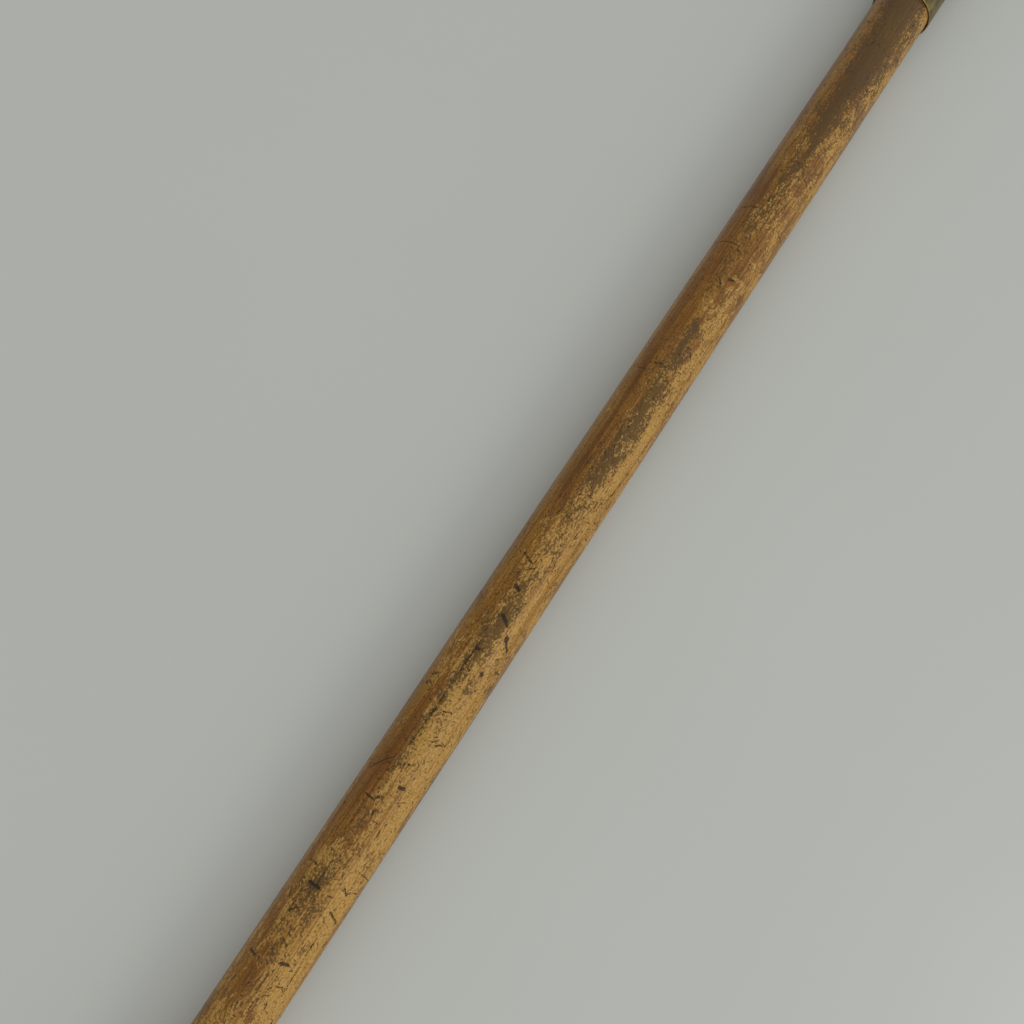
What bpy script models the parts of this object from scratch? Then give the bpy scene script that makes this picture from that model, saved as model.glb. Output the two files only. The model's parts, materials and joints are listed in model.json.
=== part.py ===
"""Telescoping pole saw: a wooden upper pole that slides in a painted steel handle tube.

The pole lies along world X. The origin is the centre of the butt cap's flat end face, and the
saw head is at +X. The pole's axis is level, at one grip radius above the surface it lies on.
"""
import math

import bmesh
import bpy
from mathutils import Matrix, Vector

MM = 0.001

# Clearances
GAP = 0.3 * MM                    # between pieces that touch or are fastened together
BORE_GAP = 0.5 * MM               # between the wooden pole and the ferrule's bore

# Wooden upper pole
ROD_DIAMETER = 28.6 * MM
ROD_EXPOSED = 660.0 * MM          # from the ferrule's mouth to the saw head
ROD_INSIDE = 290.0 * MM           # from the ferrule's mouth back into the tube
ROD_CHAMFER = 1.2 * MM
SCREW_POINT = 3.0                 # length of the tail screw's point, in its own radii

# Guide bush, stop collar and tail fittings at the pole's inner end
BUSH_WALL = 0.9 * MM
BUSH_LENGTH = 80.0 * MM
STOP_LENGTH = 10.0 * MM
STOP_PIN_DIAMETER = 3.0 * MM
TAIL_WASHER_THICKNESS = 2.0 * MM
TAIL_SCREW_DIAMETER = 4.8 * MM
TAIL_SCREW_LENGTH = 34.0 * MM
TAIL_SCREW_HEAD_DIAMETER = 9.6 * MM
TAIL_SCREW_HEAD_HEIGHT = 3.0 * MM

# Handle tube and grips
TUBE_WALL = 1.2 * MM
TUBE_LENGTH = 920.0 * MM
GRIP_WALL = 1.7 * MM
HAND_GRIP_LENGTH = 190.0 * MM
FORE_GRIP_WALL = 1.3 * MM
FORE_GRIP_LENGTH = 150.0 * MM
FORE_GRIP_START = 520.0 * MM
GROOVE_PITCH = 24.0 * MM
GROOVE_WIDTH = 4.0 * MM
GROOVE_DEPTH = 0.8 * MM
GRIP_EDGE = 1.0 * MM
CAP_FLOOR = 6.0 * MM
CAP_LENGTH = 38.0 * MM
CAP_ROUNDING = 3.5 * MM

# Brass mouth ferrule, which steps down from the tube to the wooden pole
FERRULE_WALL = 0.75 * MM
FERRULE_SLEEVE_WALL = 1.4 * MM
FERRULE_SLEEVE_LENGTH = 70.0 * MM
NOSE_BEHIND_CLAMP = 6.0 * MM      # plain nose between the clamp's ring and the shoulder
FERRULE_SHOULDER = 2.5 * MM
FERRULE_TAPER = 5.0 * MM
FERRULE_LIP = 0.4                 # share of the wall that the mouth's chamfers take
FERRULE_TAPER_KNEE = (0.3, 1.3)   # shares of the taper's step and length where it bends
FERRULE_RIVET_DIAMETER = 4.0 * MM
FERRULE_RIVET_HEAD_HEIGHT = 1.1 * MM
FERRULE_RIVET_SETBACK = 42.0 * MM

# Clamp on the ferrule's nose
CLAMP_SETBACK = 46.0 * MM         # from the mouth to the thumbscrew's axis
CLAMP_RING_WIDTH = 24.0 * MM
CLAMP_RING_WALL = 2.3 * MM
CLAMP_BOSS_DIAMETER = 15.0 * MM
CLAMP_BOSS_HEIGHT = 9.5 * MM      # above the ring
CLAMP_BOSS_FOOT = 2.0 * MM        # flare of the boss where it meets the ring
CLAMP_BOSS_ROOT = 0.7             # share of the ring's radius where the boss starts
CLAMP_EDGE = 0.6 * MM
SHOE_DIAMETER = 8.4 * MM
SHOE_HEIGHT = 4.0 * MM
SHOE_ROOT = 0.8                   # share of the pole's radius where the shoe starts
SHOE_TRAVEL = 1.4 * MM
SCREW_DIAMETER = 6.0 * MM
SCREW_TIP_DIAMETER = 3.6 * MM
SCREW_TIP_LENGTH = 2.0 * MM
SCREW_HUB_LIFT = 1.5 * MM         # hub to boss with the clamp tight
SCREW_HUB_DIAMETER = 11.0 * MM
SCREW_HUB_HEIGHT = 8.0 * MM
SCREW_WING_SPAN = 31.0 * MM
SCREW_WING_HEIGHT = 15.0 * MM
SCREW_WING_THICKNESS = 2.8 * MM

# Saw head: a socket on the wooden pole and a flat quadrant plate
SOCKET_DEPTH = 70.0 * MM
SOCKET_WALL = 2.2 * MM
SOCKET_RIM_LENGTH = 8.0 * MM
SOCKET_RIM_EDGE = 1.2 * MM
SOCKET_NOSE_LENGTH = 22.0 * MM
SOCKET_NOSE_STEPS = 8
HEAD_RIVET_DIAMETER = 5.0 * MM
HEAD_RIVET_HEAD_HEIGHT = 1.6 * MM
HEAD_RIVET_REAR = 22.0 * MM       # from the rim's face
HEAD_RIVET_FRONT = 50.0 * MM
RIVET_HEAD_SHARE = 1.8            # rivet head's radius over its shank's
PLATE_THICKNESS = 5.0 * MM
PLATE_RIM = 10.0 * MM             # material outside the slot's centre line
PLATE_ROOT_WIDTH = 24.0 * MM
PLATE_ROOT_SHARE = 0.35           # share of the socket's nose that the plate starts behind
PLATE_WAIST_SHARE = 0.45          # share of the fan's radius where the plate starts to widen
PLATE_SLOT_MARGIN = 1.0 * MM      # plate outside a washer at the slot's end
PLATE_BACK_MARGIN = 13.0 * MM
PLATE_CORNER = 6.0 * MM
PLATE_BEVEL = 0.8 * MM

# Blade
BLADE_LENGTH = 335.0 * MM         # along its curved centre line
BLADE_THICKNESS = 1.3 * MM
BLADE_CURVE_RADIUS = 420.0 * MM
BLADE_HEEL_ANGLE = math.radians(8.0)
BLADE_HEEL_WIDTH = 40.0 * MM
BLADE_TIP_WIDTH = 25.0 * MM
BLADE_CLEARANCE = 1.5 * MM        # from the socket's nose to the blade's heel
BLADE_BACK_STEPS = 14
TOOTH_PITCH = 6.5 * MM
TOOTH_DEPTH = 4.2 * MM
TOOTH_START = 58.0 * MM
TOOTH_RISE = 0.18                 # share of the pitch taken by the steep face
TIP_HOOK_LENGTH = 11.0 * MM
# The tip's round, as shares of half its width past the blade's end and to the toothed side
TIP_ROUND = ((0.55, -0.62), (0.82, -0.1), (0.86, 0.6), (0.62, 1.25))
# The hook's point and throat: shares of half the tip's width, and of the hook's length
TIP_HOOK_POINT = (0.1, 1.0)
TIP_HOOK_THROAT = (-0.05, 0.2)
TIP_HOOK_ROOT = -0.7
LAST_TOOTH_SETBACK = 0.9

# Bolts, washers and wing nuts of the blade
LOCK_RADIUS = 32.0 * MM           # pivot to lock bolt
BLADE_SWING_BACK = math.radians(35.0)      # towards the toothed side
BLADE_SWING_FORWARD = math.radians(25.0)
BOLT_DIAMETER = 5.8 * MM
BOLT_NECK_STEP = 0.2 * MM         # square neck's side over the thread
BOLT_SHOULDER_STEP = 0.5 * MM     # round shoulder over the neck's corners
BOLT_HEAD_DIAMETER = 15.0 * MM
BOLT_HEAD_HEIGHT = 3.2 * MM
BOLT_END = 4.0 * MM               # thread showing above a wing nut's hub
BOLT_CHAMFER = 0.6 * MM
WASHER_DIAMETER = 16.0 * MM
WASHER_THICKNESS = 1.2 * MM
NUT_HUB_DIAMETER = 12.0 * MM
NUT_HUB_HEIGHT = 7.0 * MM
NUT_WING_SPAN = 28.0 * MM
NUT_WING_HEIGHT = 13.0 * MM
NUT_WING_THICKNESS = 2.2 * MM
NUT_EDGE = 0.5 * MM
NUT_FOOT = 1.5 * MM               # straight foot of a wing nut's hub
PIVOT_WING_ANGLE = math.radians(62.0)
LOCK_WING_ANGLE = math.radians(-28.0)

# Hubs and wings of the thumbscrew and the wing nuts
HUB_TOP_SHARE = 0.7               # hub's flat top over its radius
HUB_SHOULDER_SHARE = 0.8
WING_CORNER = 2.2 * MM
WING_ROOT = ((0.5, 0.12), (1.0, 0.12))     # shares of the hub's radius and height
WING_CROOK = (0.55, 0.80)
# The wing's outer corners, as shares of half the span and of the wing's height
WING_RIM = ((0.93, 0.45), (1.0, 0.80), (0.88, 1.0), (0.62, 1.0), (0.50, 0.72))

# Roundness of the model
SEGMENTS = 40
SMALL_SEGMENTS = 20
GRIP_SEGMENTS = 32
ARC_STEP = math.radians(12.0)
WELD = 0.000002
SCREW_MERGE = 0.00001
SHARP_ANGLE = math.radians(35.0)
STRAIGHT_CORNER = math.radians(80.0)       # half of a corner too open to round
CORNER_REACH = 0.45               # share of a side that one corner's rounding may take
BEVEL_ANGLE = math.radians(60.0)
DOME_ANGLES = [math.radians(angle) for angle in (90, 60, 30, 0)]
CUT_MARGIN = 1.0 * MM             # how far a cutter runs past what it cuts

# Sizes that follow from the sizes above
FERRULE_NOSE_LENGTH = CLAMP_SETBACK + CLAMP_RING_WIDTH / 2 + NOSE_BEHIND_CLAMP
BOLT_NECK = BOLT_DIAMETER + BOLT_NECK_STEP
BOLT_SHOULDER_DIAMETER = BOLT_NECK * math.sqrt(2) + BOLT_SHOULDER_STEP

# Radii that follow from the sizes above
ROD_R = ROD_DIAMETER / 2
FERRULE_BORE_R = ROD_R + BORE_GAP
FERRULE_NOSE_R = FERRULE_BORE_R + FERRULE_WALL
BUSH_BORE_R = ROD_R + GAP
BUSH_R = BUSH_BORE_R + BUSH_WALL
TUBE_BORE_R = BUSH_R + GAP
TUBE_R = TUBE_BORE_R + TUBE_WALL
SLEEVE_BORE_R = TUBE_R + GAP
GRIP_R = SLEEVE_BORE_R + GRIP_WALL
SLEEVE_R = SLEEVE_BORE_R + FERRULE_SLEEVE_WALL
CLAMP_RING_BORE_R = FERRULE_NOSE_R + GAP
CLAMP_RING_R = CLAMP_RING_BORE_R + CLAMP_RING_WALL
CLAMP_BOSS_TOP = CLAMP_RING_R + CLAMP_BOSS_HEIGHT
SOCKET_BORE_R = ROD_R + GAP
SOCKET_R = SOCKET_BORE_R + SOCKET_WALL

# Stations along the pole, from the butt cap's end face
TUBE_START = CAP_FLOOR + GAP
TUBE_END = TUBE_START + TUBE_LENGTH
SHOULDER_FACE = TUBE_END + GAP
MOUTH = SHOULDER_FACE + FERRULE_SHOULDER + FERRULE_NOSE_LENGTH
CLAMP_STATION = MOUTH - CLAMP_SETBACK
TAIL = MOUTH - ROD_INSIDE
HEAD_BASE = MOUTH + ROD_EXPOSED
ROD_FRONT = HEAD_BASE + SOCKET_DEPTH - GAP
NOSE_START = HEAD_BASE + SOCKET_DEPTH
NOSE_END = NOSE_START + SOCKET_NOSE_LENGTH
PIVOT = NOSE_END + BLADE_HEEL_WIDTH / 2 + BLADE_CLEARANCE

# Heights in the saw head's own frame, where the plate's middle is zero
PLATE_FACE = PLATE_THICKNESS / 2
BLADE_TOP = -PLATE_FACE - GAP
BLADE_BOTTOM = BLADE_TOP - BLADE_THICKNESS
WASHER_BOTTOM = PLATE_FACE + GAP
NUT_BOTTOM = WASHER_BOTTOM + WASHER_THICKNESS + GAP

ALONG_POLE = (0.0, math.pi / 2, 0.0)
UPRIGHT_IN_POLE = (0.0, -math.pi / 2, 0.0)
ACROSS_POLE = (math.pi / 2, 0.0, 0.0)


def clear_scene():
    """Remove every object that the scene holds."""
    for obj in list(bpy.data.objects):
        bpy.data.objects.remove(obj, do_unlink=True)


def make_collection(name):
    """Add a collection to the scene."""
    collection = bpy.data.collections.new(name)
    bpy.context.scene.collection.children.link(collection)
    return collection


def make_material(name, colour, roughness, metallic):
    """Make a Principled material."""
    material = bpy.data.materials.new(name)
    material.use_nodes = True
    shader = material.node_tree.nodes["Principled BSDF"]
    shader.inputs["Base Color"].default_value = (*colour, 1.0)
    shader.inputs["Roughness"].default_value = roughness
    shader.inputs["Metallic"].default_value = metallic
    return material


def make_frame(name, location=(0, 0, 0), rotation=(0, 0, 0), parent=None):
    """Make an empty that carries pieces, with its origin on their joint's axis."""
    frame = bpy.data.objects.new(name, None)
    frame.empty_display_size = 20 * MM
    PARTS.objects.link(frame)
    frame.parent = parent
    frame.location = location
    frame.rotation_euler = rotation
    return frame


def place(obj, parent, location=(0, 0, 0), rotation=(0, 0, 0)):
    """Put an object in its parent's frame."""
    obj.parent = parent
    obj.location = location
    obj.rotation_euler = rotation
    return obj


def add_object(name, mesh, material=None):
    """Wrap a mesh in an object."""
    obj = bpy.data.objects.new(name, mesh)
    PARTS.objects.link(obj)
    if material:
        mesh.materials.clear()
        mesh.materials.append(material)
    return obj


def baked(obj, material):
    """Replace a curve, or an object with modifiers, by a welded mesh of the same shape."""
    name = obj.name
    bpy.context.view_layer.update()
    depsgraph = bpy.context.evaluated_depsgraph_get()
    mesh = bpy.data.meshes.new_from_object(obj.evaluated_get(depsgraph))
    shape = bmesh.new()
    shape.from_mesh(mesh)
    bmesh.ops.remove_doubles(shape, verts=shape.verts, dist=WELD)
    bmesh.ops.recalc_face_normals(shape, faces=shape.faces)
    shape.to_mesh(mesh)
    shape.free()
    bpy.data.objects.remove(obj, do_unlink=True)
    mesh.shade_smooth()
    mesh.set_sharp_from_angle(angle=SHARP_ANGLE)
    solid = add_object(name, mesh, material)
    mesh.name = name
    return solid


def turned(name, profile, material=None, ring=False, segments=SEGMENTS):
    """Turn a profile of (radius, height) points about Z; a ring's profile closes on itself."""
    mesh = bpy.data.meshes.new(name)
    shape = bmesh.new()
    points = [shape.verts.new((radius, 0.0, height)) for radius, height in profile]
    pairs = list(zip(points, points[1:]))
    if ring:
        pairs.append((points[-1], points[0]))
    for first, second in pairs:
        shape.edges.new((first, second))
    shape.to_mesh(mesh)
    shape.free()
    obj = add_object(name, mesh)
    screw = obj.modifiers.new("turn", "SCREW")
    screw.axis = "Z"
    screw.steps = segments
    screw.render_steps = segments
    screw.use_merge_vertices = True
    screw.merge_threshold = SCREW_MERGE
    return baked(obj, material)


def plate(name, loops, thickness, material=None):
    """Make a flat plate, centred on Z = 0, from an outline and the loops of its holes."""
    curve = bpy.data.curves.new(name, "CURVE")
    curve.dimensions = "2D"
    curve.fill_mode = "BOTH"
    curve.extrude = thickness / 2
    for loop in loops:
        spline = curve.splines.new("POLY")
        spline.points.add(len(loop) - 1)
        for point, (x, y) in zip(spline.points, loop):
            point.co = (x, y, 0.0, 1.0)
        spline.use_cyclic_u = True
    obj = bpy.data.objects.new(name, curve)
    PARTS.objects.link(obj)
    return baked(obj, material)


def arc(centre, radius, start, end):
    """Points on an arc from one angle to another, both ends included."""
    count = max(2, round(abs(end - start) / ARC_STEP))
    angles = [start + (end - start) * step / count for step in range(count + 1)]
    return [(centre[0] + radius * math.cos(a), centre[1] + radius * math.sin(a)) for a in angles]


def circle(centre, radius):
    """Points round a circle."""
    return arc(centre, radius, 0.0, 2 * math.pi)[:-1]


def square(centre, side, angle=0.0):
    """The four corners of a square turned by an angle."""
    reach = side / math.sqrt(2)
    turns = [angle + math.pi / 4 + quarter * math.pi / 2 for quarter in range(4)]
    return [(centre[0] + reach * math.cos(t), centre[1] + reach * math.sin(t)) for t in turns]


def rounded(corners, radius):
    """Round the corners of a polygon with arcs, each limited by its shorter side."""
    points = []
    for index, corner in enumerate(corners):
        here = Vector(corner)
        before = Vector(corners[index - 1]) - here
        after = Vector(corners[(index + 1) % len(corners)]) - here
        half = before.angle(after) / 2
        if half > STRAIGHT_CORNER:
            points.append(corner)
            continue
        longest = CORNER_REACH * min(before.length, after.length)
        reach = min(radius / math.tan(half), longest)
        fillet = reach * math.tan(half)
        middle = here + (before.normalized() + after.normalized()).normalized() * fillet / math.sin(half)
        first = here + before.normalized() * reach - middle
        sweep = first.angle_signed(here + after.normalized() * reach - middle)
        start = math.atan2(first.y, first.x)
        points += arc(middle, fillet, start, start - sweep)
    return points


def cutter(obj):
    """Keep an object only as a guide for Boolean modifiers."""
    for collection in list(obj.users_collection):
        collection.objects.unlink(obj)
    CUTTERS.objects.link(obj)
    obj.hide_render = True
    obj.display_type = "WIRE"
    return obj


def cylinder_cutter(name, radius, low, high, parent, location=(0, 0, 0), rotation=(0, 0, 0),
                    segments=SMALL_SEGMENTS):
    """A round cutter along its own Z from one height to another."""
    profile = [(0, high), (radius, high), (radius, low), (0, low)]
    obj = turned(name, profile, segments=segments)
    return place(cutter(obj), parent, location, rotation)


def boolean(obj, tool, operation="DIFFERENCE"):
    """Cut an object with a tool, or join the tool to it."""
    modifier = obj.modifiers.new(tool.name, "BOOLEAN")
    modifier.operation = operation
    modifier.solver = "EXACT"
    modifier.object = tool
    return obj


def rivet(name, radius, low, high, head_radius, head_height):
    """A rivet along Z, domed at both ends, whose heads sit outside low and high."""
    def dome(base, sign):
        return [(head_radius * math.cos(a), base + sign * head_height * math.sin(a)) for a in DOME_ANGLES]
    top = dome(high, 1)
    bottom = dome(low, -1)[::-1]
    return turned(name, top + [(radius, high), (radius, low)] + bottom, STEEL, segments=SMALL_SEGMENTS)


def half_rivet(name, radius, low, high, head_radius, head_height):
    """A rivet with one domed head, above high, and a flat end at low."""
    dome = [(head_radius * math.cos(a), high + head_height * math.sin(a)) for a in DOME_ANGLES]
    return turned(name, dome + [(radius, high), (radius, low), (0, low)], BRASS, segments=SMALL_SEGMENTS)


def wings(name, span, height, thickness, hub_radius, hub_height):
    """Two ears, as one flat plate that stands up along Z through the hub."""
    half = span / 2
    right = [(out * hub_radius, up * hub_height) for out, up in WING_ROOT]
    right += [(out * half, up * height) for out, up in WING_RIM]
    right.append((WING_CROOK[0] * hub_radius, WING_CROOK[1] * hub_height))
    left = [(-x, y) for x, y in reversed(right)]
    obj = plate(name, [rounded(right + left, WING_CORNER)], thickness)
    obj.data.transform(Matrix.Rotation(math.pi / 2, 4, "X"))
    return obj


def grooved_sleeve(name, length, outer, material):
    """A sleeve over the handle tube with shallow grooves round it."""
    count = int((length - GROOVE_PITCH) / GROOVE_PITCH)
    first = (length - (count - 1) * GROOVE_PITCH) / 2
    edge = min(GRIP_EDGE, (outer - SLEEVE_BORE_R) / 2)
    depth = min(GROOVE_DEPTH, (outer - SLEEVE_BORE_R) / 2)
    profile = [(SLEEVE_BORE_R, length), (outer - edge, length), (outer, length - edge)]
    for number in reversed(range(count)):
        middle = first + number * GROOVE_PITCH
        profile += [(outer, middle + GROOVE_WIDTH / 2), (outer - depth, middle + GROOVE_WIDTH / 4),
                    (outer - depth, middle - GROOVE_WIDTH / 4), (outer, middle - GROOVE_WIDTH / 2)]
    profile += [(outer, edge), (outer - edge, 0), (SLEEVE_BORE_R, 0)]
    return turned(name, profile, material, ring=True, segments=GRIP_SEGMENTS)


def handle_section(frame):
    """The painted tube with its rubber cap and grips."""
    ring = [(TUBE_R, TUBE_LENGTH), (TUBE_R, 0), (TUBE_BORE_R, 0), (TUBE_BORE_R, TUBE_LENGTH)]
    tube = place(turned("handle_tube", ring, PAINT, ring=True), frame, (0, 0, TUBE_START))

    rounding = [(GRIP_R - CAP_ROUNDING * (1 - math.sin(a)), CAP_ROUNDING * (1 - math.cos(a)))
                for a in DOME_ANGLES]
    cup = [(SLEEVE_BORE_R, CAP_LENGTH), (GRIP_R - GRIP_EDGE, CAP_LENGTH), (GRIP_R, CAP_LENGTH - GRIP_EDGE)]
    cup += rounding + [(0, 0)]
    cup = [(0, CAP_FLOOR), (SLEEVE_BORE_R, CAP_FLOOR)] + cup
    place(turned("butt_cap", cup, RUBBER), frame)

    grip = grooved_sleeve("hand_grip", HAND_GRIP_LENGTH, GRIP_R, RUBBER)
    place(grip, frame, (0, 0, CAP_LENGTH + GAP))
    fore = grooved_sleeve("fore_grip", FORE_GRIP_LENGTH, SLEEVE_BORE_R + FORE_GRIP_WALL, RUBBER)
    place(fore, frame, (0, 0, FORE_GRIP_START))
    return tube


def ferrule_section(frame, tube):
    """The stepped brass ferrule riveted over the tube's end."""
    lip = FERRULE_LIP * FERRULE_WALL
    taper_start = SHOULDER_FACE + FERRULE_SHOULDER - FERRULE_TAPER
    base = TUBE_END - FERRULE_SLEEVE_LENGTH
    knee_out, knee_along = FERRULE_TAPER_KNEE
    knee_r = FERRULE_NOSE_R + knee_out * (SLEEVE_R - FERRULE_NOSE_R)
    profile = [(FERRULE_BORE_R, MOUTH - lip), (FERRULE_BORE_R + lip, MOUTH),
               (FERRULE_NOSE_R - lip, MOUTH), (FERRULE_NOSE_R, MOUTH - lip),
               (FERRULE_NOSE_R, taper_start + 2 * FERRULE_TAPER),
               (knee_r, taper_start + knee_along * FERRULE_TAPER),
               (SLEEVE_R, taper_start), (SLEEVE_R, base + lip), (SLEEVE_R - lip, base),
               (SLEEVE_BORE_R, base), (SLEEVE_BORE_R, SHOULDER_FACE), (FERRULE_BORE_R, SHOULDER_FACE)]
    ferrule = place(turned("mouth_ferrule", profile, BRASS, ring=True), frame)

    shank = FERRULE_RIVET_DIAMETER / 2
    station = TUBE_END - FERRULE_RIVET_SETBACK
    for side, turn in (("left", -math.pi / 2), ("right", math.pi / 2)):
        pin = half_rivet(f"ferrule_rivet_{side}", shank, TUBE_BORE_R + GAP, SLEEVE_R + GAP,
                         RIVET_HEAD_SHARE * shank, FERRULE_RIVET_HEAD_HEIGHT)
        place(pin, frame, (0, 0, station), (turn, 0, 0))
        hole = cylinder_cutter(f"cut_ferrule_rivet_{side}", shank + GAP, TUBE_BORE_R - CUT_MARGIN,
                               SLEEVE_R + CUT_MARGIN, frame, (0, 0, station), (turn, 0, 0))
        boolean(tube, hole)
        boolean(ferrule, hole)
    return ferrule


def clamp_section(frame, ferrule):
    """The clamp collar with its boss, the shoe that presses on the wood, and the thumbscrew."""
    half = CLAMP_RING_WIDTH / 2
    edge = CLAMP_EDGE
    ring = [(CLAMP_RING_R - edge, half), (CLAMP_RING_R, half - edge), (CLAMP_RING_R, -half + edge),
            (CLAMP_RING_R - edge, -half), (CLAMP_RING_BORE_R, -half), (CLAMP_RING_BORE_R, half)]
    collar = place(turned("clamp_collar", ring, BRASS, ring=True), frame, (0, 0, CLAMP_STATION))

    axis = make_frame("clamp_axis", (0, 0, CLAMP_STATION), UPRIGHT_IN_POLE, frame)
    boss_r = CLAMP_BOSS_DIAMETER / 2
    boss_low = CLAMP_BOSS_ROOT * CLAMP_RING_R
    foot = boss_r + CLAMP_BOSS_FOOT
    boss = [(0, CLAMP_BOSS_TOP), (boss_r - edge, CLAMP_BOSS_TOP), (boss_r, CLAMP_BOSS_TOP - edge),
            (boss_r, CLAMP_RING_R + CLAMP_BOSS_FOOT), (foot, CLAMP_RING_R - CLAMP_BOSS_FOOT / 2),
            (foot, boss_low), (0, boss_low)]
    boolean(collar, place(cutter(turned("join_clamp_boss", boss)), axis), "UNION")
    ring_bore = cylinder_cutter("cut_clamp_bore", CLAMP_RING_BORE_R, -half - CUT_MARGIN,
                                half + CUT_MARGIN, frame, (0, 0, CLAMP_STATION), segments=SEGMENTS)
    boolean(collar, ring_bore)

    shoe_r = SHOE_DIAMETER / 2
    shoe_top = ROD_R + GAP + SHOE_HEIGHT
    pocket_top = shoe_top + SHOE_TRAVEL + GAP
    pocket = cylinder_cutter("cut_shoe_pocket", shoe_r + GAP, 0, pocket_top, axis)
    boolean(collar, pocket)
    boolean(ferrule, pocket)
    bore = cylinder_cutter("cut_screw_bore", SCREW_DIAMETER / 2 + GAP, 0,
                           CLAMP_BOSS_TOP + CUT_MARGIN, axis)
    boolean(collar, bore)

    shoe_axis = make_frame("clamp_shoe_axis", parent=axis)
    shoe_low = SHOE_ROOT * ROD_R
    body = [(0, shoe_top), (shoe_r - edge, shoe_top), (shoe_r, shoe_top - edge), (shoe_r, shoe_low),
            (0, shoe_low)]
    shoe = place(turned("clamp_shoe", body, BRASS, segments=SMALL_SEGMENTS), shoe_axis)
    hollow = [(0, shoe_r * 2), (ROD_R + GAP, shoe_r * 2), (ROD_R + GAP, -shoe_r * 2), (0, -shoe_r * 2)]
    boolean(shoe, place(cutter(turned("cut_shoe_face", hollow)), axis, rotation=ALONG_POLE))
    seat = cylinder_cutter("cut_shoe_seat", SCREW_TIP_DIAMETER / 2 + GAP,
                           shoe_top - SCREW_TIP_LENGTH - GAP, shoe_top + CUT_MARGIN, shoe_axis)
    boolean(shoe, seat)

    screw_axis = make_frame("thumbscrew_axis", parent=shoe_axis)
    hub_low = CLAMP_BOSS_TOP + SCREW_HUB_LIFT
    hub_high = hub_low + SCREW_HUB_HEIGHT
    hub_r = SCREW_HUB_DIAMETER / 2
    shank = SCREW_DIAMETER / 2
    tip = SCREW_TIP_DIAMETER / 2
    profile = [(0, hub_high), (HUB_TOP_SHARE * hub_r, hub_high),
               (HUB_SHOULDER_SHARE * hub_r, hub_high - edge), (hub_r, hub_low + edge),
               (hub_r - edge, hub_low), (shank, hub_low), (shank, shoe_top + GAP), (tip, shoe_top + GAP),
               (tip, shoe_top - SCREW_TIP_LENGTH), (0, shoe_top - SCREW_TIP_LENGTH)]
    screw = place(turned("thumbscrew", profile, BRASS, segments=SMALL_SEGMENTS), screw_axis)
    ears = wings("join_thumbscrew_wings", SCREW_WING_SPAN, SCREW_WING_HEIGHT, SCREW_WING_THICKNESS,
                 hub_r, SCREW_HUB_HEIGHT)
    boolean(screw, place(cutter(ears), screw_axis, (0, 0, hub_low)), "UNION")


def wooden_pole_section(frame, slide_frame):
    """The wooden pole with the bush, stop collar, washer and screw at its inner end."""
    length = ROD_FRONT - TAIL
    profile = [(0, length), (ROD_R - ROD_CHAMFER, length), (ROD_R, length - ROD_CHAMFER),
               (ROD_R, ROD_CHAMFER), (ROD_R - ROD_CHAMFER, 0), (0, 0)]
    rod = place(turned("wooden_pole", profile, WOOD), frame, (0, 0, TAIL))

    def inner_ring(name, size, material):
        ring = [(BUSH_R, size), (BUSH_R, 0), (BUSH_BORE_R, 0), (BUSH_BORE_R, size)]
        return turned(name, ring, material, ring=True)

    place(inner_ring("guide_bush", BUSH_LENGTH, BRASS), slide_frame, (0, 0, TAIL))
    stop_start = TAIL + BUSH_LENGTH + GAP
    stop = place(inner_ring("stop_collar", STOP_LENGTH, BRASS), frame, (0, 0, stop_start))

    pin_r = STOP_PIN_DIAMETER / 2
    pin_half = BUSH_R - GAP
    pin_profile = [(0, pin_half), (pin_r, pin_half), (pin_r, -pin_half), (0, -pin_half)]
    pin = turned("stop_collar_pin", pin_profile, STEEL, segments=SMALL_SEGMENTS)
    pin_station = (0, 0, stop_start + STOP_LENGTH / 2)
    place(pin, frame, pin_station, ACROSS_POLE)
    hole = cylinder_cutter("cut_stop_pin", pin_r + GAP, -TUBE_R, TUBE_R, frame, pin_station, ACROSS_POLE)
    boolean(rod, hole)
    boolean(stop, hole)

    screw_r = TAIL_SCREW_DIAMETER / 2
    washer_low = TAIL - GAP - TAIL_WASHER_THICKNESS
    washer = [(BUSH_R, TAIL_WASHER_THICKNESS), (BUSH_R, 0), (screw_r + GAP, 0),
              (screw_r + GAP, TAIL_WASHER_THICKNESS)]
    place(turned("tail_washer", washer, BRASS, ring=True), frame, (0, 0, washer_low))
    head_r = TAIL_SCREW_HEAD_DIAMETER / 2
    head_top = washer_low - GAP
    tip = head_top + TAIL_SCREW_LENGTH
    dome = [(head_r * math.cos(a), head_top - TAIL_SCREW_HEAD_HEIGHT * math.sin(a))
            for a in reversed(DOME_ANGLES)]
    profile = [(0, tip), (screw_r, tip - SCREW_POINT * screw_r), (screw_r, head_top)] + dome
    place(turned("tail_screw", profile, STEEL, segments=SMALL_SEGMENTS), frame)
    boolean(rod, cylinder_cutter("cut_tail_screw", screw_r + GAP, washer_low, tip + GAP, frame))
    return rod


def nose_profile():
    """The socket's closed front, a quarter wave from the socket's radius down into the plate."""
    steps = SOCKET_NOSE_STEPS
    end_r = PLATE_FACE - PLATE_BEVEL
    points = []
    for step in range(steps, -1, -1):
        share = step / steps
        blend = (1 + math.cos(math.pi * share)) / 2
        points.append((end_r + (SOCKET_R - end_r) * blend, NOSE_START + SOCKET_NOSE_LENGTH * share))
    return points


def lock_angle():
    """Direction from the pivot to the lock bolt, below the pole's axis on the toothed side."""
    x, reach = blade_point(LOCK_RADIUS, 0.0)
    return -math.atan2(reach, x)


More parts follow.
